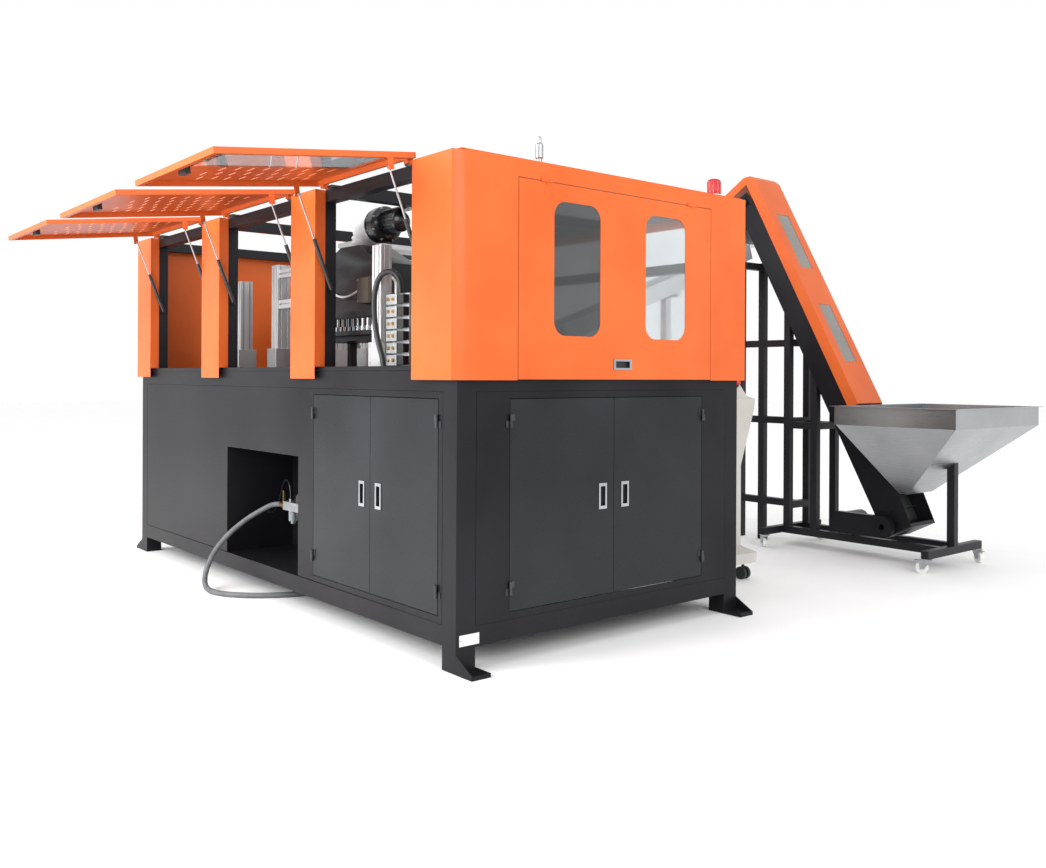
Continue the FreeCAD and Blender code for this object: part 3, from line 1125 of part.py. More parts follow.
def sorter_frame():
    """Side rails with end bearings, the catch tray under the elevator's head, and the foot posts."""
    sides = [block((f"{low}", f"{low} + 12"), ("0", "sorter_length"), ("-60", "50"))
             for low in ("-sorter_half", "sorter_half - 12")]
    ends = [cut(block(("-sorter_half + 12", "sorter_half - 12"), (low, f"{low} + 14"), ("-60", "30")),
                *[rod("y", (f"{hand} * roller_pitch / 2", "0"), (f"{low} - 1", f"{low} + 15"), 8.3)
                  for hand in (-1, 1)])
            for low in ("0", "sorter_length - 14")]
    gearbox = block(("-sorter_half", "sorter_half"), ("sorter_length - 240", "sorter_length - 140"),
                    ("-170", "-60"))
    motor = rod("y", ("sorter_half - 50", "-115"), ("sorter_length - 420", "sorter_length - 240"), 45)
    at_posts = [f"({at_y} - sorter_foot_y) / cos(sorter_angle * 1 deg)" for at_y in SORTER_POSTS]
    bars = [block(("-sorter_half", "sorter_half"), (start, f"{start} + 40"), ("-90", "-60"))
            for start in at_posts]
    return joined(on_sorter(welded(*sides, *ends, *bars)), on_sorter(joined(gearbox, motor)), catch_tray())


SORTER_POSTS = (f"{HALF_WIDTH} + 50", "1930")


def catch_tray():
    """Sheet tray under the elevator's head, open toward the sorter."""
    x, y, z = ("245", "403"), ("2765", "3080"), ("tray_floor", "tray_floor + 130")
    return cut(block(x, y, z), block(grown(x, -2), ("2760", "3078"), ("tray_floor + 2", "tray_floor + 131")))


def sorter_posts():
    """Posts under the sorter: one on the machine's bed and one on the floor with its foot pad."""
    x = ("sorter_x - tube / 2", "sorter_x + tube / 2")
    posts = []
    for low_y, bottom in ((f"{HALF_WIDTH} + 40", "base_top - 200"), ("1925", "12")):
        posts.append(outline("yz", [(low_y, bottom), (f"{low_y} + tube", bottom),
                                    (f"{low_y} + tube", sorter_under(f"{low_y} + tube", "30.2")),
                                    (low_y, sorter_under(low_y, "30.2"))], *x))
    pad = rod("z", ("sorter_x", "1950"), ("0", "12"), 45)
    ledge = block(x, (HALF_WIDTH, f"{HALF_WIDTH} + 40"), ("base_top - 200", "base_top - 140"))
    return joined(posts[0], posts[1], pad, ledge)


node("sorter_frame", joined(sorter_frame(), sorter_posts()))
for index, hand in enumerate((-1, 1), start=1):
    at = (f"{hand} * roller_pitch / 2", "0")
    node(f"sorter_roller_{index}", on_sorter(welded(
        rod("y", at, ("14.5", "sorter_length - 14.5"), "roller_radius"),
        rod("y", at, ("1", "sorter_length - 1"), 8))))


# ---------------------------------------------------------------- operator console
CONSOLE_Y = ("console_near", "console_near + console_width")


def console_body():
    """Folded pedestal: base box, column, forward-leaning desk and sloping head, on four casters."""
    front, back = "console_front", "console_front - 560"
    profile = [(back, "console_floor"), (front, "console_floor"), (front, "console_floor + 60"),
               (f"{front} - 120", "console_floor + 85"), (f"{front} - 120", "682"),
               (f"{front} - 22", "1031"), (f"{front} - 16", "1088"), (f"{front} - 78", "1104"),
               (f"{front} - 78 - screen_back", "1104 + screen_rise"),
               (f"{front} - 330", "1104 + screen_rise"),
               (f"{front} - 330", "700"), (back, "640")]
    body = outline("xz", profile, *CONSOLE_Y)
    casters = []
    for at_x in (f"{back} + 60", f"{front} - 60"):
        for at_y in (f"{CONSOLE_Y[0]} + 55", f"{CONSOLE_Y[1]} - 55"):
            stem = rod("z", (at_x, at_y), ("70", "console_floor"), 9)
            hub = rod("y", (at_x, "38"), (f"{at_y} - 9", f"{at_y} + 9"), 14)
            leg = block((f"{at_x} - 9", f"{at_x} + 9"), (f"{at_y} - 9", f"{at_y} + 9"), ("38", "72"))
            wheels = [rod("y", (at_x, "38"), (f"{at_y} + {low}", f"{at_y} + {low} + 18"), 38)
                      for low in (-27, 9)]
            casters.append(welded(stem, hub, leg, *wheels))
    return joined(body, *casters)


node("console_body", console_body())


def on_console(piece):
    """Place a piece modelled flat on the console's sloping face, X up the slope."""
    return turned(piece, "y", "-atan2(screen_back; screen_rise)", "console_front - 78 - screen_back / 2",
                  "console_near + console_width / 2", "1104 + screen_rise / 2")


STOP_Y = "console_width / 2 - 48"
node("console_screen", on_console(joined(
    block(("0", "7"), ("-185", "115"), ("-76", "76")),
    cut(rod("x", (STOP_Y, "0"), ("0", "12"), 24), rod("x", (STOP_Y, "0"), ("-1", "13"), 8.3)))))
node("estop_button", on_console(welded(
    rod("x", (STOP_Y, "0"), ("18", "32"), 20), rod("x", (STOP_Y, "0"), ("6.5", "18.5"), 8))))

# ---------------------------------------------------------------- write the parts
doc.recompute()
for piece in doc.Objects:
    if "Invalid" in piece.State or "Error" in piece.State:
        raise RuntimeError(f"{piece.Name} ({piece.Label}) failed: {piece.State}")
os.makedirs("parts", exist_ok=True)
for piece in NODES:
    if piece.Shape.isNull() or not piece.Shape.isValid():
        raise RuntimeError(f"{piece.Label} has no valid shape")
    piece.Shape.exportStep(f"parts/{piece.Label}.step")
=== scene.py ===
# %% [markdown]
# # A bottle blow moulding machine, finished around its engineering model
#
# The machine is a charcoal steel base with orange covers above it, three doors that swing up on gas struts,
# an elevator that lifts preforms from a hopper, and a console beside it. The engineering model already has
# every plate, hinge and wheel at its true size. This lesson gives each one its finish, and models again the
# few parts whose looks need finer shapes than engineering does.

# %% Load the engineering model
import math
from collections import namedtuple

import bmesh
import bpy
from mathutils import Matrix, Vector


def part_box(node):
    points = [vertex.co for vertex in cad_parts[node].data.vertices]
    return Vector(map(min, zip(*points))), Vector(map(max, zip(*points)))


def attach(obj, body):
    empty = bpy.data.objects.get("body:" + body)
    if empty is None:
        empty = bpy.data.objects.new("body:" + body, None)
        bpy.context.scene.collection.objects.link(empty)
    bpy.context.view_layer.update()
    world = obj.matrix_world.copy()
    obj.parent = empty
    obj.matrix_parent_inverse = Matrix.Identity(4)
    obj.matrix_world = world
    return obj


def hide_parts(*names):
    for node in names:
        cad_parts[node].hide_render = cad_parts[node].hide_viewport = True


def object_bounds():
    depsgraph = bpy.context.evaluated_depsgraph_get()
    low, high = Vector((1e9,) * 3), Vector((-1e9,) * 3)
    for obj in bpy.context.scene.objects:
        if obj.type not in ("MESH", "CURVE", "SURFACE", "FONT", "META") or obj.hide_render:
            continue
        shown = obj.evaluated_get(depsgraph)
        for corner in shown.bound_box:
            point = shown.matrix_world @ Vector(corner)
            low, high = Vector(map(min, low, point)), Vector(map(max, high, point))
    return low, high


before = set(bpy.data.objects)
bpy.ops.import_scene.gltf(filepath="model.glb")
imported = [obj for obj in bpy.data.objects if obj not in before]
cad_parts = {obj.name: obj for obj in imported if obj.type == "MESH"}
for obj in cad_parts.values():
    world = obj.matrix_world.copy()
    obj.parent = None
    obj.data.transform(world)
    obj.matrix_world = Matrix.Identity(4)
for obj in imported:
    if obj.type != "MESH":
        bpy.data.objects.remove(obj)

MM = 0.001
CAD_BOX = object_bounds()
SIZE = CAD_BOX[1] - CAD_BOX[0]
print("machine, in metres:", [round(side, 3) for side in SIZE])

# %% [markdown]
# ## The camera
#
# A large machine is usually shown from a corner, a little above the middle of its base, so that both faces
# show. A fairly short lens takes it all in from six metres. The camera looks level, with a quarter of a
# degree of roll, so that upright edges stay all but upright. Instead of tilting it, the lens is shifted
# down by a twentieth of the frame.

# %% Camera
camera = bpy.data.objects.new("camera", bpy.data.cameras.new("camera"))
bpy.context.scene.collection.objects.link(camera)
camera.data.sensor_width, camera.data.lens = 36, 34.2
camera.data.shift_x, camera.data.shift_y = 0.0056, -0.0553
turn_left, roll = math.radians(50.573), math.radians(0.2676)
camera.matrix_world = (
    Matrix.Translation((5.1267, -3.2745, 1.2176))
    @ Matrix.Rotation(turn_left, 4, "Z") @ Matrix.Rotation(math.pi / 2, 4, "X")
    @ Matrix.Rotation(roll, 4, "Z")
)
bpy.context.scene.camera = camera
print("lens", camera.data.lens, "mm at", [round(value, 2) for value in camera.location])

# %% [markdown]
# ## Colours and nodes
#
# A colour is easiest to read as the hex value that a colour picker gives, but a shader works in linear
# light. One function turns the first into the second. Every material is a small graph of nodes, and one
# more function adds a node, sets it up and links it, so that a material reads as a list of what it is made
# of.

# %% Helpers for colours and nodes
def linear(colour):
    """An sRGB hex colour as linear red, green, blue and alpha."""
    shares = [int(colour[place:place + 2], 16) / 255 for place in (1, 3, 5)]
    return [s / 12.92 if s <= 0.04045 else ((s + 0.055) / 1.055) ** 2.4 for s in shares] + [1]


def add(tree, kind, inputs=(), **settings):
    """Adds a shader node: an input that is another node's output is linked, and any other is set."""
    node = tree.nodes.new("ShaderNode" + kind)
    for name, value in settings.items():
        setattr(node, name, value)
    for name, value in dict(inputs).items():
        if isinstance(value, bpy.types.NodeSocket):
            tree.links.new(value, node.inputs[name])
        else:
            node.inputs[name].default_value = value
    return node


# %% [markdown]
# ## One recipe for a real surface
#
# No real surface has one flat colour. Paint has a faint cloudiness that the eye reads as thickness, and a
# fine skin, such as the orange peel of powder coat or the lines of brushed steel, that breaks up
# reflections. The recipe below uses two noise patterns: wide clouds that drift the colour, and a fine grain
# of a given size in millimetres that sets gloss and relief. Squeezing the grain along one axis turns dots
# into brush lines. Nearly all of such a pattern lies between 0.3 and 0.7, so that range is what gets spread
# over the two ends.

# %% The surface recipe
CLOUD_MM = 420
NOISE_RANGE = (0.3, 0.7)


def surface(name, low, high, gloss, grain_mm, relief_mm, squeeze=(1, 1, 1), cloud_mm=CLOUD_MM, **sockets):
    """A material between two close colours and two roughness values, with a fine grain in relief."""
    made = bpy.data.materials.new(name)
    made.use_nodes = True
    tree = made.node_tree
    shader = tree.nodes["Principled BSDF"]
    for socket, value in sockets.items():
        shader.inputs[socket.replace("_", " ")].default_value = value
    place = add(tree, "TexCoord").outputs["Object"]
    cloud = add(tree, "TexNoise", {"Vector": place, "Scale": 1 / (cloud_mm * MM), "Detail": 3.0})
    tint = add(tree, "ValToRGB", {"Fac": cloud.outputs["Fac"]})
    for stop, at, colour in zip(tint.color_ramp.elements, NOISE_RANGE, (low, high)):
        stop.position, stop.color = at, linear(colour)
    tree.links.new(tint.outputs["Color"], shader.inputs["Base Color"])
    drawn = add(tree, "Mapping", {"Vector": place, "Scale": squeeze})
    grain = add(tree, "TexNoise", {"Vector": drawn.outputs["Vector"], "Scale": 1 / (grain_mm * MM),
                                   "Detail": 4.0})
    rough = add(tree, "MapRange", {"Value": grain.outputs["Fac"], "From Min": NOISE_RANGE[0],
                                   "From Max": NOISE_RANGE[1], "To Min": gloss[0], "To Max": gloss[1]})
    tree.links.new(rough.outputs["Result"], shader.inputs["Roughness"])
    relief = add(tree, "Bump", {"Height": grain.outputs["Fac"], "Distance": relief_mm * MM, "Strength": 1.0})
    tree.links.new(relief.outputs["Normal"], shader.inputs["Normal"])
    return made


# %% [markdown]
# ## Powder coat
#
# The panels are folded steel sheet, sprayed with dry powder and baked. The powder melts into a tough skin
# with a satin gloss and a faint ripple called orange peel. Real ripple is 1 to 2 mm across, too fine to
# show at this distance, so it is drawn at 9 mm, and only a few hundredths deep. Charcoal powder with the
# same ripple covers the base, the posts and the elevator, and the console is a pale warm grey. The
# undersides of the gull doors face away from the lamps, so they are drawn in a deeper orange, and with next
# to no ripple, which would look grainy at the flat angle that they are seen from.

# %% Powder coats
POWDER = {"grain_mm": 9, "relief_mm": 0.05, "Specular_IOR_Level": 0.25}
orange = surface("orange_powder_coat", "#CE5B24", "#D9672F", (0.3, 0.4), **POWDER)
# Painted shade: a deeper orange for the gull door undersides, which face away from the lamps.
painted_shade_orange = surface("shaded_orange_powder_coat", "#A8431A", "#BA5122", (0.34, 0.37),
                       **{**POWDER, "relief_mm": 0.002})
CHARCOAL = {**POWDER, "Specular_IOR_Level": 0.16, "cloud_mm": 650}
charcoal = surface("charcoal_powder_coat", "#111114", "#212125", (0.28, 0.42), **CHARCOAL)
door_charcoal = surface("door_powder_coat", "#1E2022", "#2B2E30", (0.26, 0.38), **CHARCOAL)
dark_steel = surface("post_powder_coat", "#17171A", "#212125", (0.36, 0.5), **POWDER)
warm_grey = surface("console_powder_coat", "#B9B6B0", "#C6C3BE", (0.3, 0.42), **POWDER)
hood_grey = surface("oven_powder_coat", "#242528", "#343639", (0.28, 0.4), **POWDER)
box_grey = surface("junction_box_paint", "#5E564D", "#6E665C", (0.4, 0.5), **POWDER)
print("powder coats:", len(bpy.data.materials))

# %% [markdown]
# ## Metals
#
# A metal has no colour under its shine: its base colour is the tint of the shine. Brushed stainless steel
# has fine level lines, so its grain is squeezed 40 times in height, which leaves lines about 4 mm apart.
# Machined aluminium gets cutter marks about 1.5 mm apart in the same way. Aluminium and blackened steel
# carry a skin of oxide, so they are drawn as less than fully metallic. Anodised extrusion has the thickest
# skin and is drawn the least metallic and the whitest. Part of that whiteness is painted light, which
# brightens the portal in the shade under the covers. Chrome is nearly a mirror. Brass, on the air fittings,
# is the one warm metal.

# %% Metals
BRUSH = (1, 1, 40)
stainless = surface("brushed_stainless_steel", "#A4A6A8", "#B6B8BA", (0.26, 0.36), 160, 0.01, BRUSH,
                    Metallic=1.0)
# Partly painted light: a whiter, less metallic finish that brightens the portal in the shade under the
# covers.
anodised = surface("anodised_aluminium", "#D0D2D4", "#E0E1E2", (0.36, 0.48), 30, 0.02, BRUSH, Metallic=0.7)
machined = surface("machined_aluminium", "#C8CACC", "#DADCDD", (0.3, 0.44), 60, 0.02, BRUSH, Metallic=0.85)
chrome = surface("chrome_plate", "#A6A8AC", "#B6B8BC", (0.1, 0.2), 60, 0.01, Metallic=1.0)
zinc = surface("zinc_plated_steel", "#9B9EA2", "#B5B7BA", (0.3, 0.5), 14, 0.03, cloud_mm=40, Metallic=1.0)
gunmetal = surface("blackened_steel", "#3A3B3D", "#505255", (0.35, 0.5), 14, 0.03, cloud_mm=60, Metallic=0.8)
brass = surface("brass", "#B08A4A", "#C9A25E", (0.22, 0.36), 10, 0.02, cloud_mm=30, Metallic=1.0)

# %% [markdown]
# ## Plastics, rubber and enamel
#
# The fan is cast iron under satin black enamel. The hose is grey rubber over braid, with a dull skin that
# has a slightly mottled grain. The air tube is extruded polyurethane, smooth and dyed black. The caster
# wheels are milky nylon, and the belt is dark PVC.

# %% Plastics, rubber and enamel
enamel = surface("black_enamel", "#101114", "#18191C", (0.24, 0.32), 30, 0.01, Coat_Weight=0.3)
black_plastic = surface("black_abs_plastic", "#1E1F21", "#28292B", (0.42, 0.55), 4, 0.05)
rubber = surface("braided_rubber_hose", "#5B5D60", "#6E7073", (0.5, 0.68), 5, 0.35, cloud_mm=60)
polyurethane = surface("polyurethane_tube", "#17181B", "#222428", (0.22, 0.34), 6, 0.03, cloud_mm=60)
nylon = surface("nylon", "#DCDDD8", "#EEEEEA", (0.32, 0.45), 8, 0.05, cloud_mm=30, Subsurface_Weight=0.2,
                Subsurface_Scale=0.01)
white_plastic = surface("white_abs_plastic", "#E4E4E2", "#F0F0EE", (0.32, 0.42), 6, 0.03, cloud_mm=60)
red_plastic = surface("red_abs_plastic", "#C01A1E", "#D32A2A", (0.24, 0.34), 6, 0.03, cloud_mm=30)
red_lens = surface("red_beacon_lens", "#C5141A", "#E02A2C", (0.1, 0.2), 8, 0.03, cloud_mm=30,
                   Transmission_Weight=0.35, IOR=1.49)
belt_pvc = surface("pvc_belt", "#1C201E", "#262B28", (0.45, 0.6), 5, 0.2)
bare_sheet = surface("bare_plate", "#D8D8D6", "#E6E6E4", (0.3, 0.4), 10, 0.02, cloud_mm=60)
touch_glass = surface("touch_screen_glass", "#0E1216", "#161B20", (0.05, 0.1), 60, 0.005, Coat_Weight=1.0)
duct_cloth = surface("pvc_coated_duct_cloth", "#E6E7E8", "#F4F4F3", (0.35, 0.5), 9, 0.8, cloud_mm=70)

# %% [markdown]
# ## Windows
#
# The panes are extruded polycarbonate sheet, with a refractive index of 1.585. Clear sheet needs almost no
# colour of its own. The smoked sheet is the same plastic with dye in it, so its colour is dark and its
# light passes through a deeper tint. Faint roughness stands for the fine scratches of wiping. The
# elevator's panes have been scratched dull by preforms, so they scatter most of the light.

# %% Windows
clear_pane = surface("clear_polycarbonate", "#D6DDE0", "#E4E9EB", (0.02, 0.06), 90, 0.004,
                     Transmission_Weight=0.92, IOR=1.585)
smoked_pane = surface("smoked_polycarbonate", "#4F5254", "#5C5F61", (0.03, 0.07), 90, 0.004,
                      Transmission_Weight=0.85, IOR=1.585)
frosted_pane = surface("frosted_polycarbonate", "#8B8782", "#9A9691", (0.16, 0.28), 90, 0.004,
                       Transmission_Weight=0.3, IOR=1.585)
bowl_plastic = surface("polycarbonate_bowl", "#A8B4B8", "#BCC6C9", (0.05, 0.12), 20, 0.01,
                       Transmission_Weight=0.6, IOR=1.585)
print("materials:", len(bpy.data.materials))

# %% [markdown]
# ## The air hose and the air tube
#
# A free hose is a fixed length of something that bends, so it is drawn as one smooth NURBS curve through a
# few control points, with a round bevel for its thickness. The order is set after the points are added,
# because a curve with too few points falls back to straight runs. The hose leaves the shut-off valve, hangs
# to the floor and lies in a loose turn. The tube is a short loop from the service unit to the fitting in
# the recess wall.

# %% Cords
def curve(name, route_mm, radius_mm, finish):
    """A smooth round cord through a given list of control points in millimetres."""
    data = bpy.data.curves.new(name, "CURVE")
    data.dimensions, data.bevel_depth, data.bevel_resolution = "3D", radius_mm * MM, 6
    data.resolution_u, data.use_fill_caps = 10, True
    line = data.splines.new("NURBS")
    line.points.add(len(route_mm) - 1)
    for point, place in zip(line.points, route_mm):
        point.co = [value * MM for value in place] + [1]
    line.order_u, line.use_endpoint_u = 3, True
    data.materials.append(finish)
    made = bpy.data.objects.new(name, data)
    bpy.context.scene.collection.objects.link(made)
    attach(made, "root")
    return made


HOSE_ROUTE = [(-120, -700, 476), (-205, -700, 476), (-295, -745, 430), (-362, -832, 360),
              (-388, -925, 275), (-392, -995, 190), (-372, -1045, 100), (-310, -1078, 35),
              (-215, -1085, 15.3), (-95, -1050, 15.3), (15, -965, 15.3), (95, -855, 15.3),
              (150, -730, 15.3), (175, -600, 15.3)]
TUBE_ROUTE = [(-10, -700, 520), (-10, -700, 572), (-45, -694, 612), (-102, -682, 622), (-160, -668, 600),
              (-208, -656, 556), (-248, -647, 504), (-290, -642, 452), (-340, -640, 400), (-399, -640, 400)]
hose = curve("supply_hose", HOSE_ROUTE, 15, rubber)
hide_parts("air_hose")
tube = curve("pressure_tube", TUBE_ROUTE, 4, polyurethane)
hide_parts("air_tube")

# %% [markdown]
# ## The oven's cables and the valve conduit
#
# A white cable runs from the junction box to the valve stack, a shorter one goes back to the oven's casing,
# and a black conduit arches off the stack and dives through the bed. They are too small for the engineering
# model, but they are what makes the works look connected. Each is a curve that ends on the piece it is
# wired to.

# %% Cables inside the covers
VALVE_CABLE = [(740, -622, 1690), (800, -622, 1702), (880, -640, 1716), (965, -668, 1710),
               (1045, -696, 1688), (1112, -724, 1662), (1160, -752, 1640), (1182, -766, 1618),
               (1186, -768, 1600)]
OVEN_CABLE = [(620, -622, 1668), (560, -622, 1650), (490, -630, 1632), (415, -632, 1636),
              (350, -624, 1654), (318, -612, 1666), (300, -600, 1668)]
CONDUIT = [(1230, -770, 1600), (1230, -772, 1665), (1198, -798, 1706), (1150, -832, 1690),
           (1122, -846, 1612), (1122, -848, 1520), (1138, -848, 1430), (1168, -846, 1350),
           (1190, -842, 1300), (1194, -840, 1260)]
for name, route, radius, length, finish, slot in (
        ("valve_cable", VALVE_CABLE, 6, 0.508, white_plastic, "white_plastic"),
        ("oven_cable", OVEN_CABLE, 6, 0.335, white_plastic, "white_plastic"),
        ("valve_conduit", CONDUIT, 13, 0.616, black_plastic, "black_tube")):
    cable = curve(name, route, radius, finish)
print("cables inside the covers: 3")

# %% [markdown]
# ## The studio
#
# Product pictures of machines are lit flat and white, so that the shape of every panel shows. A white world
# gives even fill, one large soft light stands high over the long side, and another opens up the end. A
# small one looks in under the raised doors, so that the bright works show. The floor is pale and dull, and
# takes a soft shadow under the feet.

# %% Floor, lights and world
scene = bpy.context.scene
scene.view_settings.view_transform = "Standard"
world = bpy.data.worlds.new("white_studio")
world.use_nodes = True
world.node_tree.nodes["Background"].inputs["Color"].default_value = linear("#FFFFFF")
world.node_tree.nodes["Background"].inputs["Strength"].default_value = 1.0
scene.world = world


def soft_light(name, place, aim, size, watts):
    """A large square lamp at a place, turned to face a point."""
    data = bpy.data.lights.new(name, "AREA")
    data.size, data.energy = size, watts
    lamp = bpy.data.objects.new(name, data)
    lamp.location = place
    lamp.rotation_euler = (Vector(aim) - Vector(place)).to_track_quat("-Z", "Y").to_euler()
    scene.collection.objects.link(lamp)


soft_light("long_side_light", (-1.5, -7.5, 4.5), (0, 0, 1.2), 5, 640)
soft_light("end_light", (8.5, -1.0, 4.0), (1.5, 0.5, 1.2), 4, 260)
soft_light("works_light", (1.2, -4.6, 1.9), (0, -0.4, 1.7), 1.6, 70)
floor_mesh = bpy.data.meshes.new("studio_floor")
FLOOR_HALF = 40
floor_mesh.from_pydata([(x * FLOOR_HALF, y * FLOOR_HALF, 0) for x, y in ((-1, -1), (1, -1), (1, 1), (-1, 1))],
                       [], [(0, 1, 2, 3)])
floor_mesh.materials.append(surface("studio_floor_paint", "#FBFBFB", "#FFFFFF", (0.85, 0.95), 900, 0.01))
studio_floor = bpy.data.objects.new("studio_floor", floor_mesh)
scene.collection.objects.link(studio_floor)

# %% [markdown]
# ## Solids inside a node
#
# One engineering node can hold several solids, such as a door with its handle and hinges. The function
# below finds them by following faces that share corners, and gives each one's box. With that, a handle can
# be chrome while its door stays charcoal, and a detailed piece can take its place and size from the solid
# it stands for.

# %% Solids of a node
Part = namedtuple("Part", "lo hi size centre faces")


def parts_of(node):
    """The separate solids of a node, each with its corners and size in millimetres and its faces."""
    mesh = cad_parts[node].data
    keys = [tuple(round(value, 5) for value in vertex.co) for vertex in mesh.vertices]
    leader = {key: key for key in keys}

    def lead(key):
        while leader[key] != key:
            leader[key] = leader[leader[key]]
            key = leader[key]
        return key

    for face in mesh.polygons:
        for corner in face.vertices[1:]:
            leader[lead(keys[corner])] = lead(keys[face.vertices[0]])
    groups = {}
    for face in mesh.polygons:
        groups.setdefault(lead(keys[face.vertices[0]]), []).append(face)
    found = []
    for faces in groups.values():
        corners = [mesh.vertices[corner].co / MM for face in faces for corner in face.vertices]
        lo = Vector([min(corner[axis] for corner in corners) for axis in range(3)])
        hi = Vector([max(corner[axis] for corner in corners) for axis in range(3)])
        found.append(Part(lo, hi, hi - lo, (lo + hi) / 2, faces))
    return sorted(found, key=lambda part: tuple(part.lo))


# %% [markdown]
# ## Finishing the engineering nodes
#
# Sheet metal and castings never have knife edges: every fold and corner has a small radius that catches a
# line of light. The model's faces come in apart from each other, so a Weld modifier first joins them, and a
# Bevel modifier then rounds each edge sharper than 40 degrees. A Weighted Normal modifier lets the largest
# face at each corner set the shading there, which keeps flat faces flat while the small rounds stay smooth.

# %% Dress a node
EDGE_STEPS, SHARP_EDGE = 2, math.radians(40)


def round_edges(made, edge_mm):
    """Rounds an object's sharp edges and keeps its flat faces flat."""
    bevel = made.modifiers.new("bevel", "BEVEL")
    bevel.width, bevel.segments, bevel.angle_limit = edge_mm * MM, EDGE_STEPS, SHARP_EDGE
    made.modifiers.new("flat_faces", "WEIGHTED_NORMAL")


def dress(node, main, others=(), edge_mm=1.5):
    """Gives a node its finish, and other finishes to the solids that pass a test, and rounds its edges."""
    piece_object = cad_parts[node]
    mesh = piece_object.data
    mesh.materials.clear()
    mesh.materials.append(main)
    parts = parts_of(node) if others else []
    for index, (finish, test) in enumerate(others, start=1):
        mesh.materials.append(finish)
        for part in parts:
            if test(part):
                for face in part.faces:
                    face.material_index = index
    normals = mesh.attributes.get("custom_normal")
    if normals:
        mesh.attributes.remove(normals)
    mesh.shade_smooth()
    piece_object.modifiers.new("weld", "WELD").merge_threshold = 0.02 * MM
    round_edges(piece_object, edge_mm)


# %% [markdown]
# ## Covers, base and doors
#
# The covers are the orange sheet, and the base and its doors the charcoal sheet. On the base doors the
# handle is a chrome plate round a black pocket, and the hinge halves are dark steel barrels. Each is a
# small solid, so its size is enough to tell it from the door.

# %% Covers, base and doors
HINGE_MAX, HANDLE_MIN, HANDLE_MAX = 60, 100, 130
FRONT_SLACK = 0.5
LATCH_REACH, LATCH_HALF, LATCH_FACE = 110, 45, 60


def is_small(part):
    """True for a hinge half, which is a few centimetres long."""
    return max(part.size) < HINGE_MAX


def is_handle(part):
    """True for a flush handle: a plate about 118 mm long."""
    return HANDLE_MIN < max(part.size) < HANDLE_MAX


def blacken_pocket(node):
    """Gives every face of a flush handle that lies behind its front a black plastic finish."""
    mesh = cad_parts[node].data
    mesh.materials.append(black_plastic)
    for part in filter(is_handle, parts_of(node)):
        depth = min(range(3), key=lambda axis: part.size[axis])
        front = max(part.lo[depth], part.hi[depth], key=abs)
        for face in part.faces:
            if abs(face.center[depth] / MM - front) > FRONT_SLACK:
                face.material_index = len(mesh.materials) - 1


def paint_door_inside(node):
    """Paints shade on the underside of an open gull door as a deeper orange, and gives its latch a black
    finish.
    """
    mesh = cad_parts[node].data
    mesh.materials.append(painted_shade_orange)
    mesh.materials.append(black_plastic)
    lo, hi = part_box(node)
    middle = (lo.x + hi.x) / 2
    for face in mesh.polygons:
        # Painted shade: every face that looks down gets the deeper orange.
        if face.normal.z < -0.5:
            face.material_index = 1
        near_middle = abs(face.center.x - middle) < LATCH_HALF * MM
        near_edge = face.center.y < lo.y + LATCH_REACH * MM
        if near_middle and near_edge and face.area < LATCH_FACE ** 2 * MM ** 2:
            face.material_index = 2


for node in ("front_covers", "fixed_covers"):
    dress(node, orange, edge_mm=2.5)
dress("lift_door", orange, [(chrome, is_handle)], edge_mm=2.5)
for number in (1, 2, 3):
    dress(f"gull_door_{number}", orange)
    paint_door_inside(f"gull_door_{number}")
dress("lift_windows", clear_pane, [(smoked_pane, lambda part: part.centre.y < 0)], edge_mm=0.5)
dress("gull_window", clear_pane, edge_mm=0.5)
for node in ("base_frame", "front_panel", "bed_plate"):
    dress(node, charcoal, edge_mm=3)
dress("base_panels", charcoal, [(gunmetal, is_small)])
for node in ("front_door_left", "front_door_right", "end_door_left", "end_door_right"):
    dress(node, door_charcoal, [(chrome, is_handle), (gunmetal, is_small)])
    blacken_pocket(node)
blacken_pocket("lift_door")
dress("gull_hinge_blocks", black_plastic, edge_mm=2)
dress("upper_frame", dark_steel, edge_mm=2)
print("covers and base dressed")

# %% [markdown]
# ## Elevator, hopper, sorter and console
#
# The elevator's casing is charcoal and its cover orange, with two panes let into it. The hopper is brushed
# stainless sheet. The sorter's rollers and the drums are chrome plated, and the stand runs on nylon wheels
# in zinc plated forks.

# %% Elevator, hopper, sorter and console
PANE_MAX, HOUSING_MIN, CASTER_TOP, SCREEN_MIN = 600, 300, 110, 200
dress("conveyor_casing", charcoal, edge_mm=2)
dress("conveyor_cover", orange, [(frosted_pane, lambda part: part.size.z < PANE_MAX)], edge_mm=2)
dress("conveyor_belt", belt_pvc, edge_mm=0.5)
for node in ("head_drum", "tail_drum", "sorter_roller_1", "sorter_roller_2"):
    dress(node, chrome, edge_mm=0.5)
dress("hopper", stainless, edge_mm=2)
dress("elevator_frame", dark_steel, edge_mm=2)
dress("drive_unit", gunmetal, [(charcoal, lambda part: part.size.x > HOUSING_MIN)])
dress("sorter_frame", anodised, edge_mm=1)
dress("console_body", warm_grey, [(black_plastic, lambda part: part.hi.z < CASTER_TOP)], edge_mm=3)
dress("console_screen", black_plastic, [(touch_glass, lambda part: part.size.y > SCREEN_MIN)], edge_mm=2)
dress("estop_button", red_plastic, edge_mm=1)
for number in (1, 2, 3, 4):
    dress(f"caster_fork_{number}", zinc, edge_mm=0.5)
    dress(f"caster_wheel_{number}", nylon, edge_mm=1.5)
print("line and console dressed")

# %% [markdown]
# ## The works inside
#
# Inside the covers are bright machined platens, the oven with its dark grey hood, a row of preform holders
# on their chain, and the air service unit in the base. Each holder is turned steel, and the rails are
# blackened.

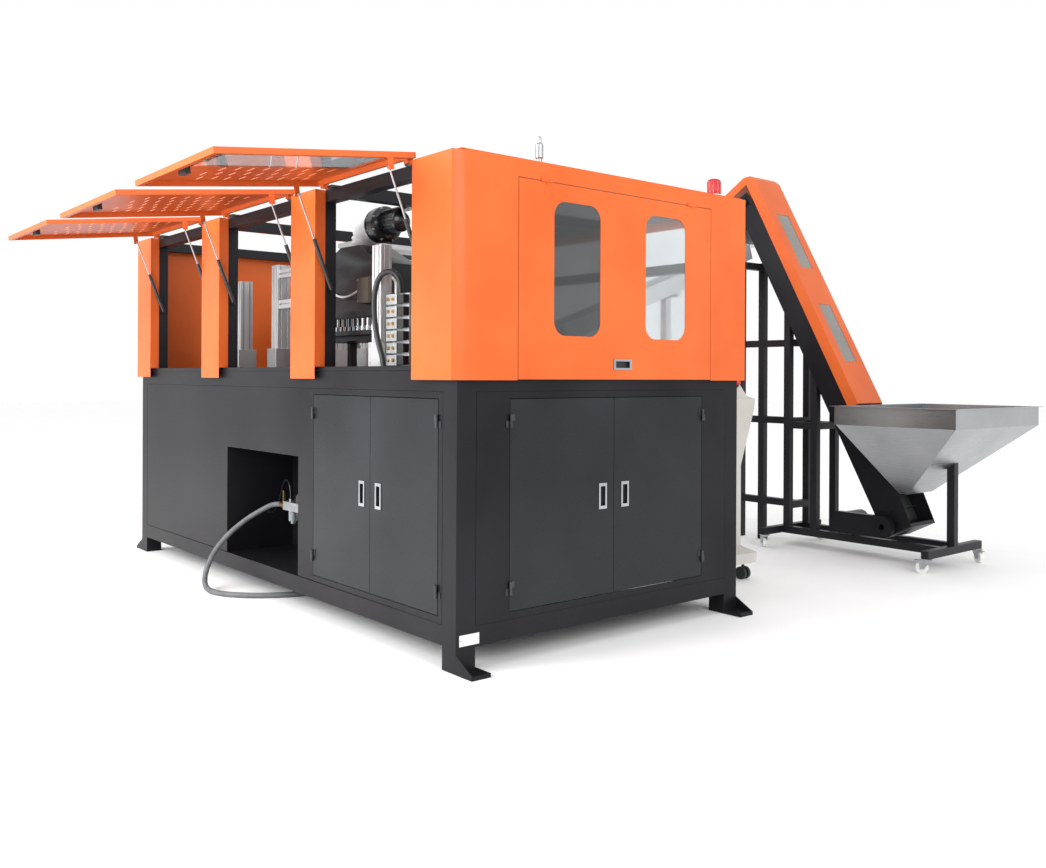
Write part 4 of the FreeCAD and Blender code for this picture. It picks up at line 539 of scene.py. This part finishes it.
# %% The works inside
BOX_MAX, HOLDER_MAX, ROD_MIN = 200, 60, 500
VALVE_END, TALL_PART, BOWL_TOP, KNOB_FOOT, KNOB_MAX = -40, 60, 459, 550, 50
BRACKET_START, WALL_FITTING_END = 145, -390
dress("heating_tunnel", hood_grey, [(box_grey, lambda part: part.size.x < BOX_MAX)], edge_mm=2.5)
dress("preform_chain", gunmetal, [(chrome, lambda part: part.size.x < HOLDER_MAX)], edge_mm=1)
dress("stretch_frame", machined, [(chrome, lambda part: part.size.z > ROD_MIN)])
dress("stretch_carriage", machined)
dress("moving_platen", machined)
for number in (1, 2, 3):
    dress(f"strut_tubes_{number}", enamel, edge_mm=0.5)
    dress(f"strut_rods_{number}", chrome, edge_mm=0.5)
dress("hose_coupling", brass, edge_mm=0.8)
dress("air_service_unit", zinc, [
    (brass, lambda part: part.hi.x < VALVE_END and part.size.z > TALL_PART),
    (bowl_plastic, lambda part: part.hi.z < BOWL_TOP and part.size.z > TALL_PART),
    (black_plastic, lambda part: part.hi.z > KNOB_FOOT and part.size.x < KNOB_MAX),
    (gunmetal, lambda part: part.lo.x > BRACKET_START or part.hi.x < WALL_FITTING_END)], edge_mm=1.5)
print("works dressed")

# %% [markdown]
# ## Building finer shapes
#
# The parts that engineering keeps plain are modelled again with three small tools: one extrudes a flat
# outline along an axis, one turns a profile about an axis, and one makes an object of what the first two
# drew. An outline is a list of the points that its shape needs, and its place comes from the solid that it
# replaces.

# %% Mesh tools
def extrude(bm, outline, corner, axis, length, finish=0):
    """Extrudes an outline, measured from a corner, along one axis of the frame."""
    across = [other for other in range(3) if other != axis]
    ends = []
    for reach in (0, length):
        ring = []
        for along_first, along_second in outline:
            place = Vector(corner)
            place[across[0]] += along_first
            place[across[1]] += along_second
            place[axis] += reach
            ring.append(bm.verts.new(place * MM))
        ends.append(ring)
    near, far = ends
    sides = zip(near, near[1:] + near[:1], far[1:] + far[:1], far)
    for corners in [near, far, *sides]:
        bm.faces.new(corners).material_index = finish


def block(bm, lo, hi, finish=0):
    """A rectangular block between two corners."""
    size = Vector(hi) - Vector(lo)
    extrude(bm, [(0, 0), (size.x, 0), (size.x, size.y), (0, size.y)], lo, 2, size.z, finish)


def lathe(bm, profile, centre, axis, facets=48, finish=0, swell=lambda angle: 1):
    """Turns a profile of (radius, height) pairs about an axis through a centre."""
    across = [other for other in range(3) if other != axis]
    rings = []
    for radius, height in profile:
        ring = []
        for step in range(facets if radius else 1):
            angle = 2 * math.pi * step / facets
            place = Vector(centre)
            place[across[0]] += radius * swell(angle) * math.cos(angle)
            place[across[1]] += radius * swell(angle) * math.sin(angle)
            place[axis] += height
            ring.append(bm.verts.new(place * MM))
        rings.append(ring)
    for ring, following in zip(rings, rings[1:]):
        for step in range(facets):
            corners = [ring[step % len(ring)], ring[(step + 1) % len(ring)],
                       following[(step + 1) % len(following)], following[step % len(following)]]
            bm.faces.new(list(dict.fromkeys(corners))).material_index = finish


def piece(name, body, bm, finishes, edge_mm=1.0, replaces=()):
    """Makes an object of what was drawn, rounds its edges and hangs it on a body."""
    bmesh.ops.recalc_face_normals(bm, faces=bm.faces)
    mesh = bpy.data.meshes.new(name)
    bm.to_mesh(mesh)
    bm.free()
    for finish in finishes:
        mesh.materials.append(finish)
    mesh.shade_smooth()
    made = bpy.data.objects.new(name, mesh)
    bpy.context.scene.collection.objects.link(made)
    round_edges(made, edge_mm)
    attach(made, body)
    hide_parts(*replaces)
    print(name, len(mesh.polygons), "faces")
    return made


# %% [markdown]
# ## The clamp and its extruded profiles
#
# The portal over the moulds is made of aluminium extrusion. Its T slots, one in every 40 mm of each side,
# take sliding nuts, and they are what makes such a frame look like what it is. The outline below walks
# round the section and dips into each slot: 8 mm wide at the mouth, 18 mm wide behind it and 11 mm deep.

# %% Slotted profiles
SLOT_PITCH, SLOT_MOUTH, SLOT_WIDE = 40, 4, 9
SLOT_LIP, SLOT_SHOULDER, SLOT_DEEP = 3, 6, 11


def slotted_outline(width, depth):
    """The section of an extrusion, with a T slot in every 40 mm of each side."""
    outline = []
    corners = [Vector((0, 0)), Vector((width, 0)), Vector((width, depth)), Vector((0, depth))]
    for start, end in zip(corners, corners[1:] + corners[:1]):
        along = (end - start).normalized()
        inward = Vector((-along.y, along.x))
        outline.append(tuple(start))
        slots = max(1, round((end - start).length / SLOT_PITCH))
        for slot in range(slots):
            middle = start + (end - start) * (slot + 0.5) / slots
            dips = [(-SLOT_MOUTH, 0), (-SLOT_MOUTH, SLOT_LIP), (-SLOT_WIDE, SLOT_LIP),
                    (-SLOT_WIDE, SLOT_SHOULDER), (-SLOT_MOUTH, SLOT_DEEP)]
            for sideways, down in dips + [(-sideways, down) for sideways, down in reversed(dips)]:
                outline.append(tuple(middle + along * sideways + inward * down))
    return outline


def hex_screw(bm, centre, axis, radius, height, finish):
    """A hexagon screw head on a round washer."""
    washer_radius, washer_height = radius * 1.5, height * 0.25
    lathe(bm, [(0, 0), (washer_radius, 0), (washer_radius, washer_height), (0, washer_height)],
          centre, axis, 24, finish)
    lathe(bm, [(0, 0), (radius, 0), (radius, height), (0, height)], centre, axis, 6, finish)


# %% [markdown]
# ## Clamp, portal and valve stack
#
# One engineering node holds the posts and beams of the portal, the blocks that they stand on, the tie bars
# that the moving platen slides along, and the bank of solenoid valves. They differ enough in size to be
# told apart. What is over half a metre wide stays a plain machined block. Posts and shorter beams become
# extrusions, the foot blocks get four sunk screws each, the tie bars are turned with a chamfer at each end,
# and the valves are drawn one by one, each with a coil and two brass ports.

# %% Clamp, portal and valve stack
TIE_BAR_MIN, WIDE_MIN, STACK_MIN, STACK_DEPTH_MAX, FOOT_MIN, FOOT_MAX = 600, 500, 300, 80, 70, 130
BAR_RADIUS, BAR_CHAMFER = 22, 4
SCREW_INSET, SOCKET_RIM, SOCKET_RADIUS, SOCKET_DEPTH, SOCKET_PROUD = 16, 8, 6, 7, 0.1
VALVE_COUNT, MANIFOLD_DEPTH, VALVE_GAP, COIL_LENGTH, COIL_SETBACK = 6, 18, 4, 48, 10
PORT_RADIUS, PORT_DEPTH, PORT_PLACES = 8, 6, (20, 62)


def long_axis(part):
    """The axis, 0 to 2, along which a solid is longest."""
    return max(range(3), key=lambda axis: part.size[axis])


def draw_profile(bm, part):
    """An extrusion that fills a solid's box."""
    axis = long_axis(part)
    width, depth = [part.size[other] for other in range(3) if other != axis]
    extrude(bm, slotted_outline(width, depth), part.lo, axis, part.size[axis])


def draw_valve_stack(bm, part):
    """A bank of solenoid valves: a manifold with flat bodies on it, each with a coil and two brass ports."""
    pitch = part.size.z / VALVE_COUNT
    back = part.hi.y - MANIFOLD_DEPTH
    block(bm, (part.lo.x, back, part.lo.z), part.hi, 0)
    for row in range(VALVE_COUNT):
        low = part.lo.z + row * pitch
        block(bm, (part.lo.x, part.lo.y + PORT_DEPTH, low + VALVE_GAP),
              (part.hi.x - COIL_LENGTH - VALVE_GAP, back, low + pitch - VALVE_GAP), 1)
        block(bm, (part.hi.x - COIL_LENGTH, part.lo.y + COIL_SETBACK, low + 2 * VALVE_GAP),
              (part.hi.x, back, low + pitch - 2 * VALVE_GAP), 2)
        for along in PORT_PLACES:
            lathe(bm, [(0, 0), (PORT_RADIUS, 0), (PORT_RADIUS, PORT_DEPTH), (0, PORT_DEPTH)],
                  (part.lo.x + along, part.lo.y, low + pitch / 2), 1, 24, 3)


clamp = bmesh.new()
for part in parts_of("clamp_frame"):
    if part.size.x > TIE_BAR_MIN:
        half_profile = [(0, 0), (BAR_RADIUS - BAR_CHAMFER, 0), (BAR_RADIUS, BAR_CHAMFER)]
        mirrored = [(radius, part.size.x - height) for radius, height in reversed(half_profile)]
        lathe(clamp, half_profile + mirrored, (part.lo.x, part.centre.y, part.centre.z), 0, finish=4)
    elif part.size.y > WIDE_MIN:
        block(clamp, part.lo, part.hi, 1)
    elif part.size.x > FOOT_MAX and part.size.z > STACK_MIN and part.size.y < STACK_DEPTH_MAX:
        draw_valve_stack(clamp, part)
    elif FOOT_MIN < part.size.x < FOOT_MAX and part.size.z < FOOT_MAX:
        block(clamp, part.lo, part.hi, 1)
        for x in (part.lo.x + SCREW_INSET, part.hi.x - SCREW_INSET):
            for z in (part.lo.z + SCREW_INSET, part.hi.z - SCREW_INSET):
                lathe(clamp, [(SOCKET_RIM, 0), (SOCKET_RADIUS, 0), (SOCKET_RADIUS, SOCKET_DEPTH),
                              (0, SOCKET_DEPTH)], (x, part.lo.y - SOCKET_PROUD, z), 1, 16, 2)
    else:
        draw_profile(clamp, part)
piece("clamp_and_portal", "root", clamp, [anodised, machined, black_plastic, brass, chrome],
      replaces=["clamp_frame"])

# %% [markdown]
# ## The hot-air duct
#
# Hot air leaves the oven hood through a flexible duct of PVC-coated cloth on a wire helix. The cloth pulls
# in between the wires, and it crumples a little all over. The duct is a sweep: rings of points along a path
# that goes up and turns over, with a radius that dips between wires, and an unevenness made of three sine
# waves.

# %% Flexible duct
DUCT_PITCH, DUCT_DIP, DUCT_CRUMPLE = 21, 0.07, 0.05
DUCT_FACETS, DUCT_STEP, BEND_CLEAR = 96, 3, 15
CRUMPLE_WAVES = ((5, 17), (9, -11), (3, 29))
duct_box = parts_of("flexible_duct")[0]
duct_radius = duct_box.size.y / 2
riser = Vector((duct_box.lo.x + duct_radius, duct_box.centre.y))
duct_axis_z = duct_box.hi.z - duct_radius
bend_radius = duct_radius + BEND_CLEAR
bend_start_z = duct_axis_z - bend_radius


def duct_point(travel):
    """The middle of the duct, and the two directions across it, after some travel from the hood."""
    rise = bend_start_z - duct_box.lo.z
    arc = bend_radius * math.pi / 2
    if travel < rise:
        return Vector((riser.x, riser.y, duct_box.lo.z + travel)), Vector((1, 0, 0))
    if travel < rise + arc:
        angle = (travel - rise) / bend_radius
        centre = Vector((riser.x + bend_radius * (1 - math.cos(angle)), riser.y,
                         bend_start_z + bend_radius * math.sin(angle)))
        return centre, Vector((math.cos(angle), 0, -math.sin(angle)))
    return Vector((riser.x + bend_radius + travel - rise - arc, riser.y, duct_axis_z)), Vector((0, 0, -1))


def crumple(angle, travel):
    """A smooth unevenness from -1 to 1: waves round the duct that twist at different rates along it."""
    waves = [math.sin(count * angle + travel / twist) for count, twist in CRUMPLE_WAVES]
    return sum(waves) / len(waves)


duct = bmesh.new()
duct_length = ((bend_start_z - duct_box.lo.z) + bend_radius * math.pi / 2
               + duct_box.hi.x - riser.x - bend_radius)
rings = []
for step in range(int(duct_length / DUCT_STEP) + 1):
    travel = min(step * DUCT_STEP, duct_length)
    middle, across = duct_point(travel)
    between_wires = 0.5 - 0.5 * math.cos(2 * math.pi * travel / DUCT_PITCH)
    ring = []
    for facet in range(DUCT_FACETS):
        angle = 2 * math.pi * facet / DUCT_FACETS
        dip = between_wires * (DUCT_DIP + DUCT_CRUMPLE * (0.5 + 0.5 * crumple(angle, travel)))
        reach = duct_radius * (1 - dip)
        offset = across * math.cos(angle) + Vector((0, 1, 0)) * math.sin(angle)
        ring.append(duct.verts.new((middle + offset * reach) * MM))
    rings.append(ring)
for ring, following in zip(rings, rings[1:]):
    for facet in range(DUCT_FACETS):
        after = (facet + 1) % DUCT_FACETS
        duct.faces.new((ring[facet], ring[after], following[after], following[facet]))
duct.faces.new(rings[0])
duct.faces.new(rings[-1])
soft_duct = piece("hot_air_duct", "root", duct, [duct_cloth], replaces=["flexible_duct"])
soft_duct.modifiers.clear()

# %% [markdown]
# ## The fan
#
# The fan is a cast scroll bolted between a flange and its motor. The motor's cooling fins run along its
# length, and are drawn by letting the radius of the turned profile rise and fall round the circle.

# %% Fan
fan_parts = parts_of("blower")
fan_foot = next(part for part in fan_parts if part.size.z < 20)
fan_body = next(part for part in fan_parts if part.size.z > 100)
fan_start = Vector((fan_body.lo.x, fan_body.centre.y, fan_body.centre.z))
scroll_radius = fan_body.size.y / 2
flange_radius, motor_radius = scroll_radius - 4, 55
FLANGE, SCROLL_END, MOTOR_CAP = 18, 92, 26
fan_length = fan_body.size.x
fan = bmesh.new()
lathe(fan, [(0, 0), (flange_radius, 0), (flange_radius, 10), (flange_radius - 16, 14),
            (flange_radius - 16, FLANGE), (0, FLANGE)], fan_start, 0)
lathe(fan, [(0, FLANGE), (scroll_radius - 12, FLANGE), (scroll_radius, FLANGE + 10),
            (scroll_radius, SCROLL_END - 16), (scroll_radius - 14, SCROLL_END - 4),
            (motor_radius + 8, SCROLL_END), (0, SCROLL_END)], fan_start, 0, 64)
FINS, FIN_DEPTH, BOLTS = 28, 0.09, 8
lathe(fan, [(0, SCROLL_END), (motor_radius, SCROLL_END), (motor_radius, fan_length - MOTOR_CAP),
            (0, fan_length - MOTOR_CAP)], fan_start, 0, FINS * 6,
      swell=lambda angle: 1 - FIN_DEPTH * (math.sin(FINS * angle) < 0))
lathe(fan, [(0, fan_length - MOTOR_CAP), (motor_radius - 1, fan_length - MOTOR_CAP),
            (motor_radius - 1, fan_length - 10), (motor_radius - 14, fan_length), (0, fan_length)],
      fan_start, 0)
for bolt in range(BOLTS):
    angle = 2 * math.pi * (bolt + 0.5) / BOLTS
    for ring_radius, along in ((flange_radius - 8, FLANGE - 8), (scroll_radius - 9, SCROLL_END - 12)):
        place = fan_start + Vector((along, ring_radius * math.cos(angle), ring_radius * math.sin(angle)))
        hex_screw(fan, place, 0, 5, 8, 1)
POST_HALF, POST_LENGTH, POST_SINK = 20, 100, 8
block(fan, fan_foot.lo, fan_foot.hi)
block(fan, (fan_foot.lo.x, fan_start.y - POST_HALF, fan_start.z + motor_radius - POST_SINK),
      (fan_foot.lo.x + POST_LENGTH, fan_start.y + POST_HALF, fan_foot.lo.z))
piece("fan_and_motor", "root", fan, [enamel, zinc], replaces=["blower"])

# %% [markdown]
# ## Beacon and silencer
#
# A warning beacon has a white plastic foot and a red lens with upright flutes, which spread its light. The
# exhaust silencer is a brass hexagon that carries a zinc plated sleeve, which narrows to a slim tip.

# %% Beacon and silencer
beacon_box = parts_of("beacon")[0]
beacon_foot = Vector((beacon_box.centre.x, beacon_box.centre.y, beacon_box.lo.z))
foot_radius, beacon_height = beacon_box.size.x / 2, beacon_box.size.z
LENS_START, FLUTES, FLUTE_DEPTH = 30, 36, 0.03
lens_radius = foot_radius - 4
beacon = bmesh.new()
lathe(beacon, [(0, 0), (foot_radius, 0), (foot_radius, 18), (foot_radius - 3, 24),
               (foot_radius - 3, LENS_START), (0, LENS_START)], beacon_foot, 2, 64, 0)
lathe(beacon, [(0, LENS_START), (lens_radius, LENS_START), (lens_radius, beacon_height - 16),
               (lens_radius - 5, beacon_height - 6), (lens_radius - 14, beacon_height - 1),
               (0, beacon_height)], beacon_foot, 2, FLUTES * 6, 1,
      swell=lambda angle: 1 - FLUTE_DEPTH * (0.5 + 0.5 * math.cos(FLUTES * angle)))
piece("warning_beacon", "root", beacon, [white_plastic, red_lens], 0.8, ["beacon"])

silencer_box = parts_of("exhaust_silencer")[0]
silencer_foot = Vector((silencer_box.centre.x, silencer_box.centre.y, silencer_box.lo.z))
sleeve_radius, silencer_height = silencer_box.size.x / 2, silencer_box.size.z
HEXAGON_TOP = 16
silencer = bmesh.new()
lathe(silencer, [(0, 0), (sleeve_radius, 0), (sleeve_radius, HEXAGON_TOP), (0, HEXAGON_TOP)],
      silencer_foot, 2, 6, 0)
lathe(silencer, [(0, HEXAGON_TOP), (sleeve_radius * 0.6, HEXAGON_TOP), (sleeve_radius * 0.6, 40),
                 (sleeve_radius * 0.85, 44), (sleeve_radius * 0.85, silencer_height * 0.72),
                 (sleeve_radius * 0.7, silencer_height * 0.76), (sleeve_radius * 0.45, silencer_height * 0.8),
                 (sleeve_radius * 0.42, silencer_height * 0.96), (sleeve_radius * 0.25, silencer_height),
                 (0, silencer_height)], silencer_foot, 2, 48, 1)
piece("silencer", "root", silencer, [brass, zinc], 0.6, ["exhaust_silencer"])

# %% [markdown]
# ## Small trim
#
# The corner of the base has a small plate where a works number would go. It is left bare here, with a screw
# at each end. The junction box beside the oven has a lid with a screw in each corner.

# %% Plate and box lid
PLATE, PLATE_SCREW = Vector((1.2, 102, 46)), 7
plate_corner = Vector((1855.2, -884, 112))
plate = bmesh.new()
block(plate, plate_corner, plate_corner + PLATE)
for y in (plate_corner.y + PLATE_SCREW, plate_corner.y + PLATE.y - PLATE_SCREW):
    lathe(plate, [(0, 0), (3, 0), (2.4, 1.6), (0, 2)],
          (plate_corner.x + PLATE.x, y, plate_corner.z + PLATE.z / 2), 0, 20, 1)
piece("bare_label_plate", "root", plate, [bare_sheet, zinc], 0.3)

box_part = next(part for part in parts_of("heating_tunnel") if part.size.x < BOX_MAX)
LID, LID_INSET, SCREW = 4, 5, 12
lid = bmesh.new()
lid_y = box_part.lo.y - LID
block(lid, (box_part.lo.x + LID_INSET, lid_y, box_part.lo.z + LID_INSET),
      (box_part.hi.x - LID_INSET, box_part.lo.y, box_part.hi.z - LID_INSET))
for x in (box_part.lo.x + SCREW, box_part.hi.x - SCREW):
    for z in (box_part.lo.z + SCREW, box_part.hi.z - SCREW):
        lathe(lid, [(0, 0), (5, 0), (4, -2.5), (0, -3)], (x, lid_y, z), 1, 20, 1)
piece("junction_box_lid", "root", lid, [box_grey, chrome], 0.8)
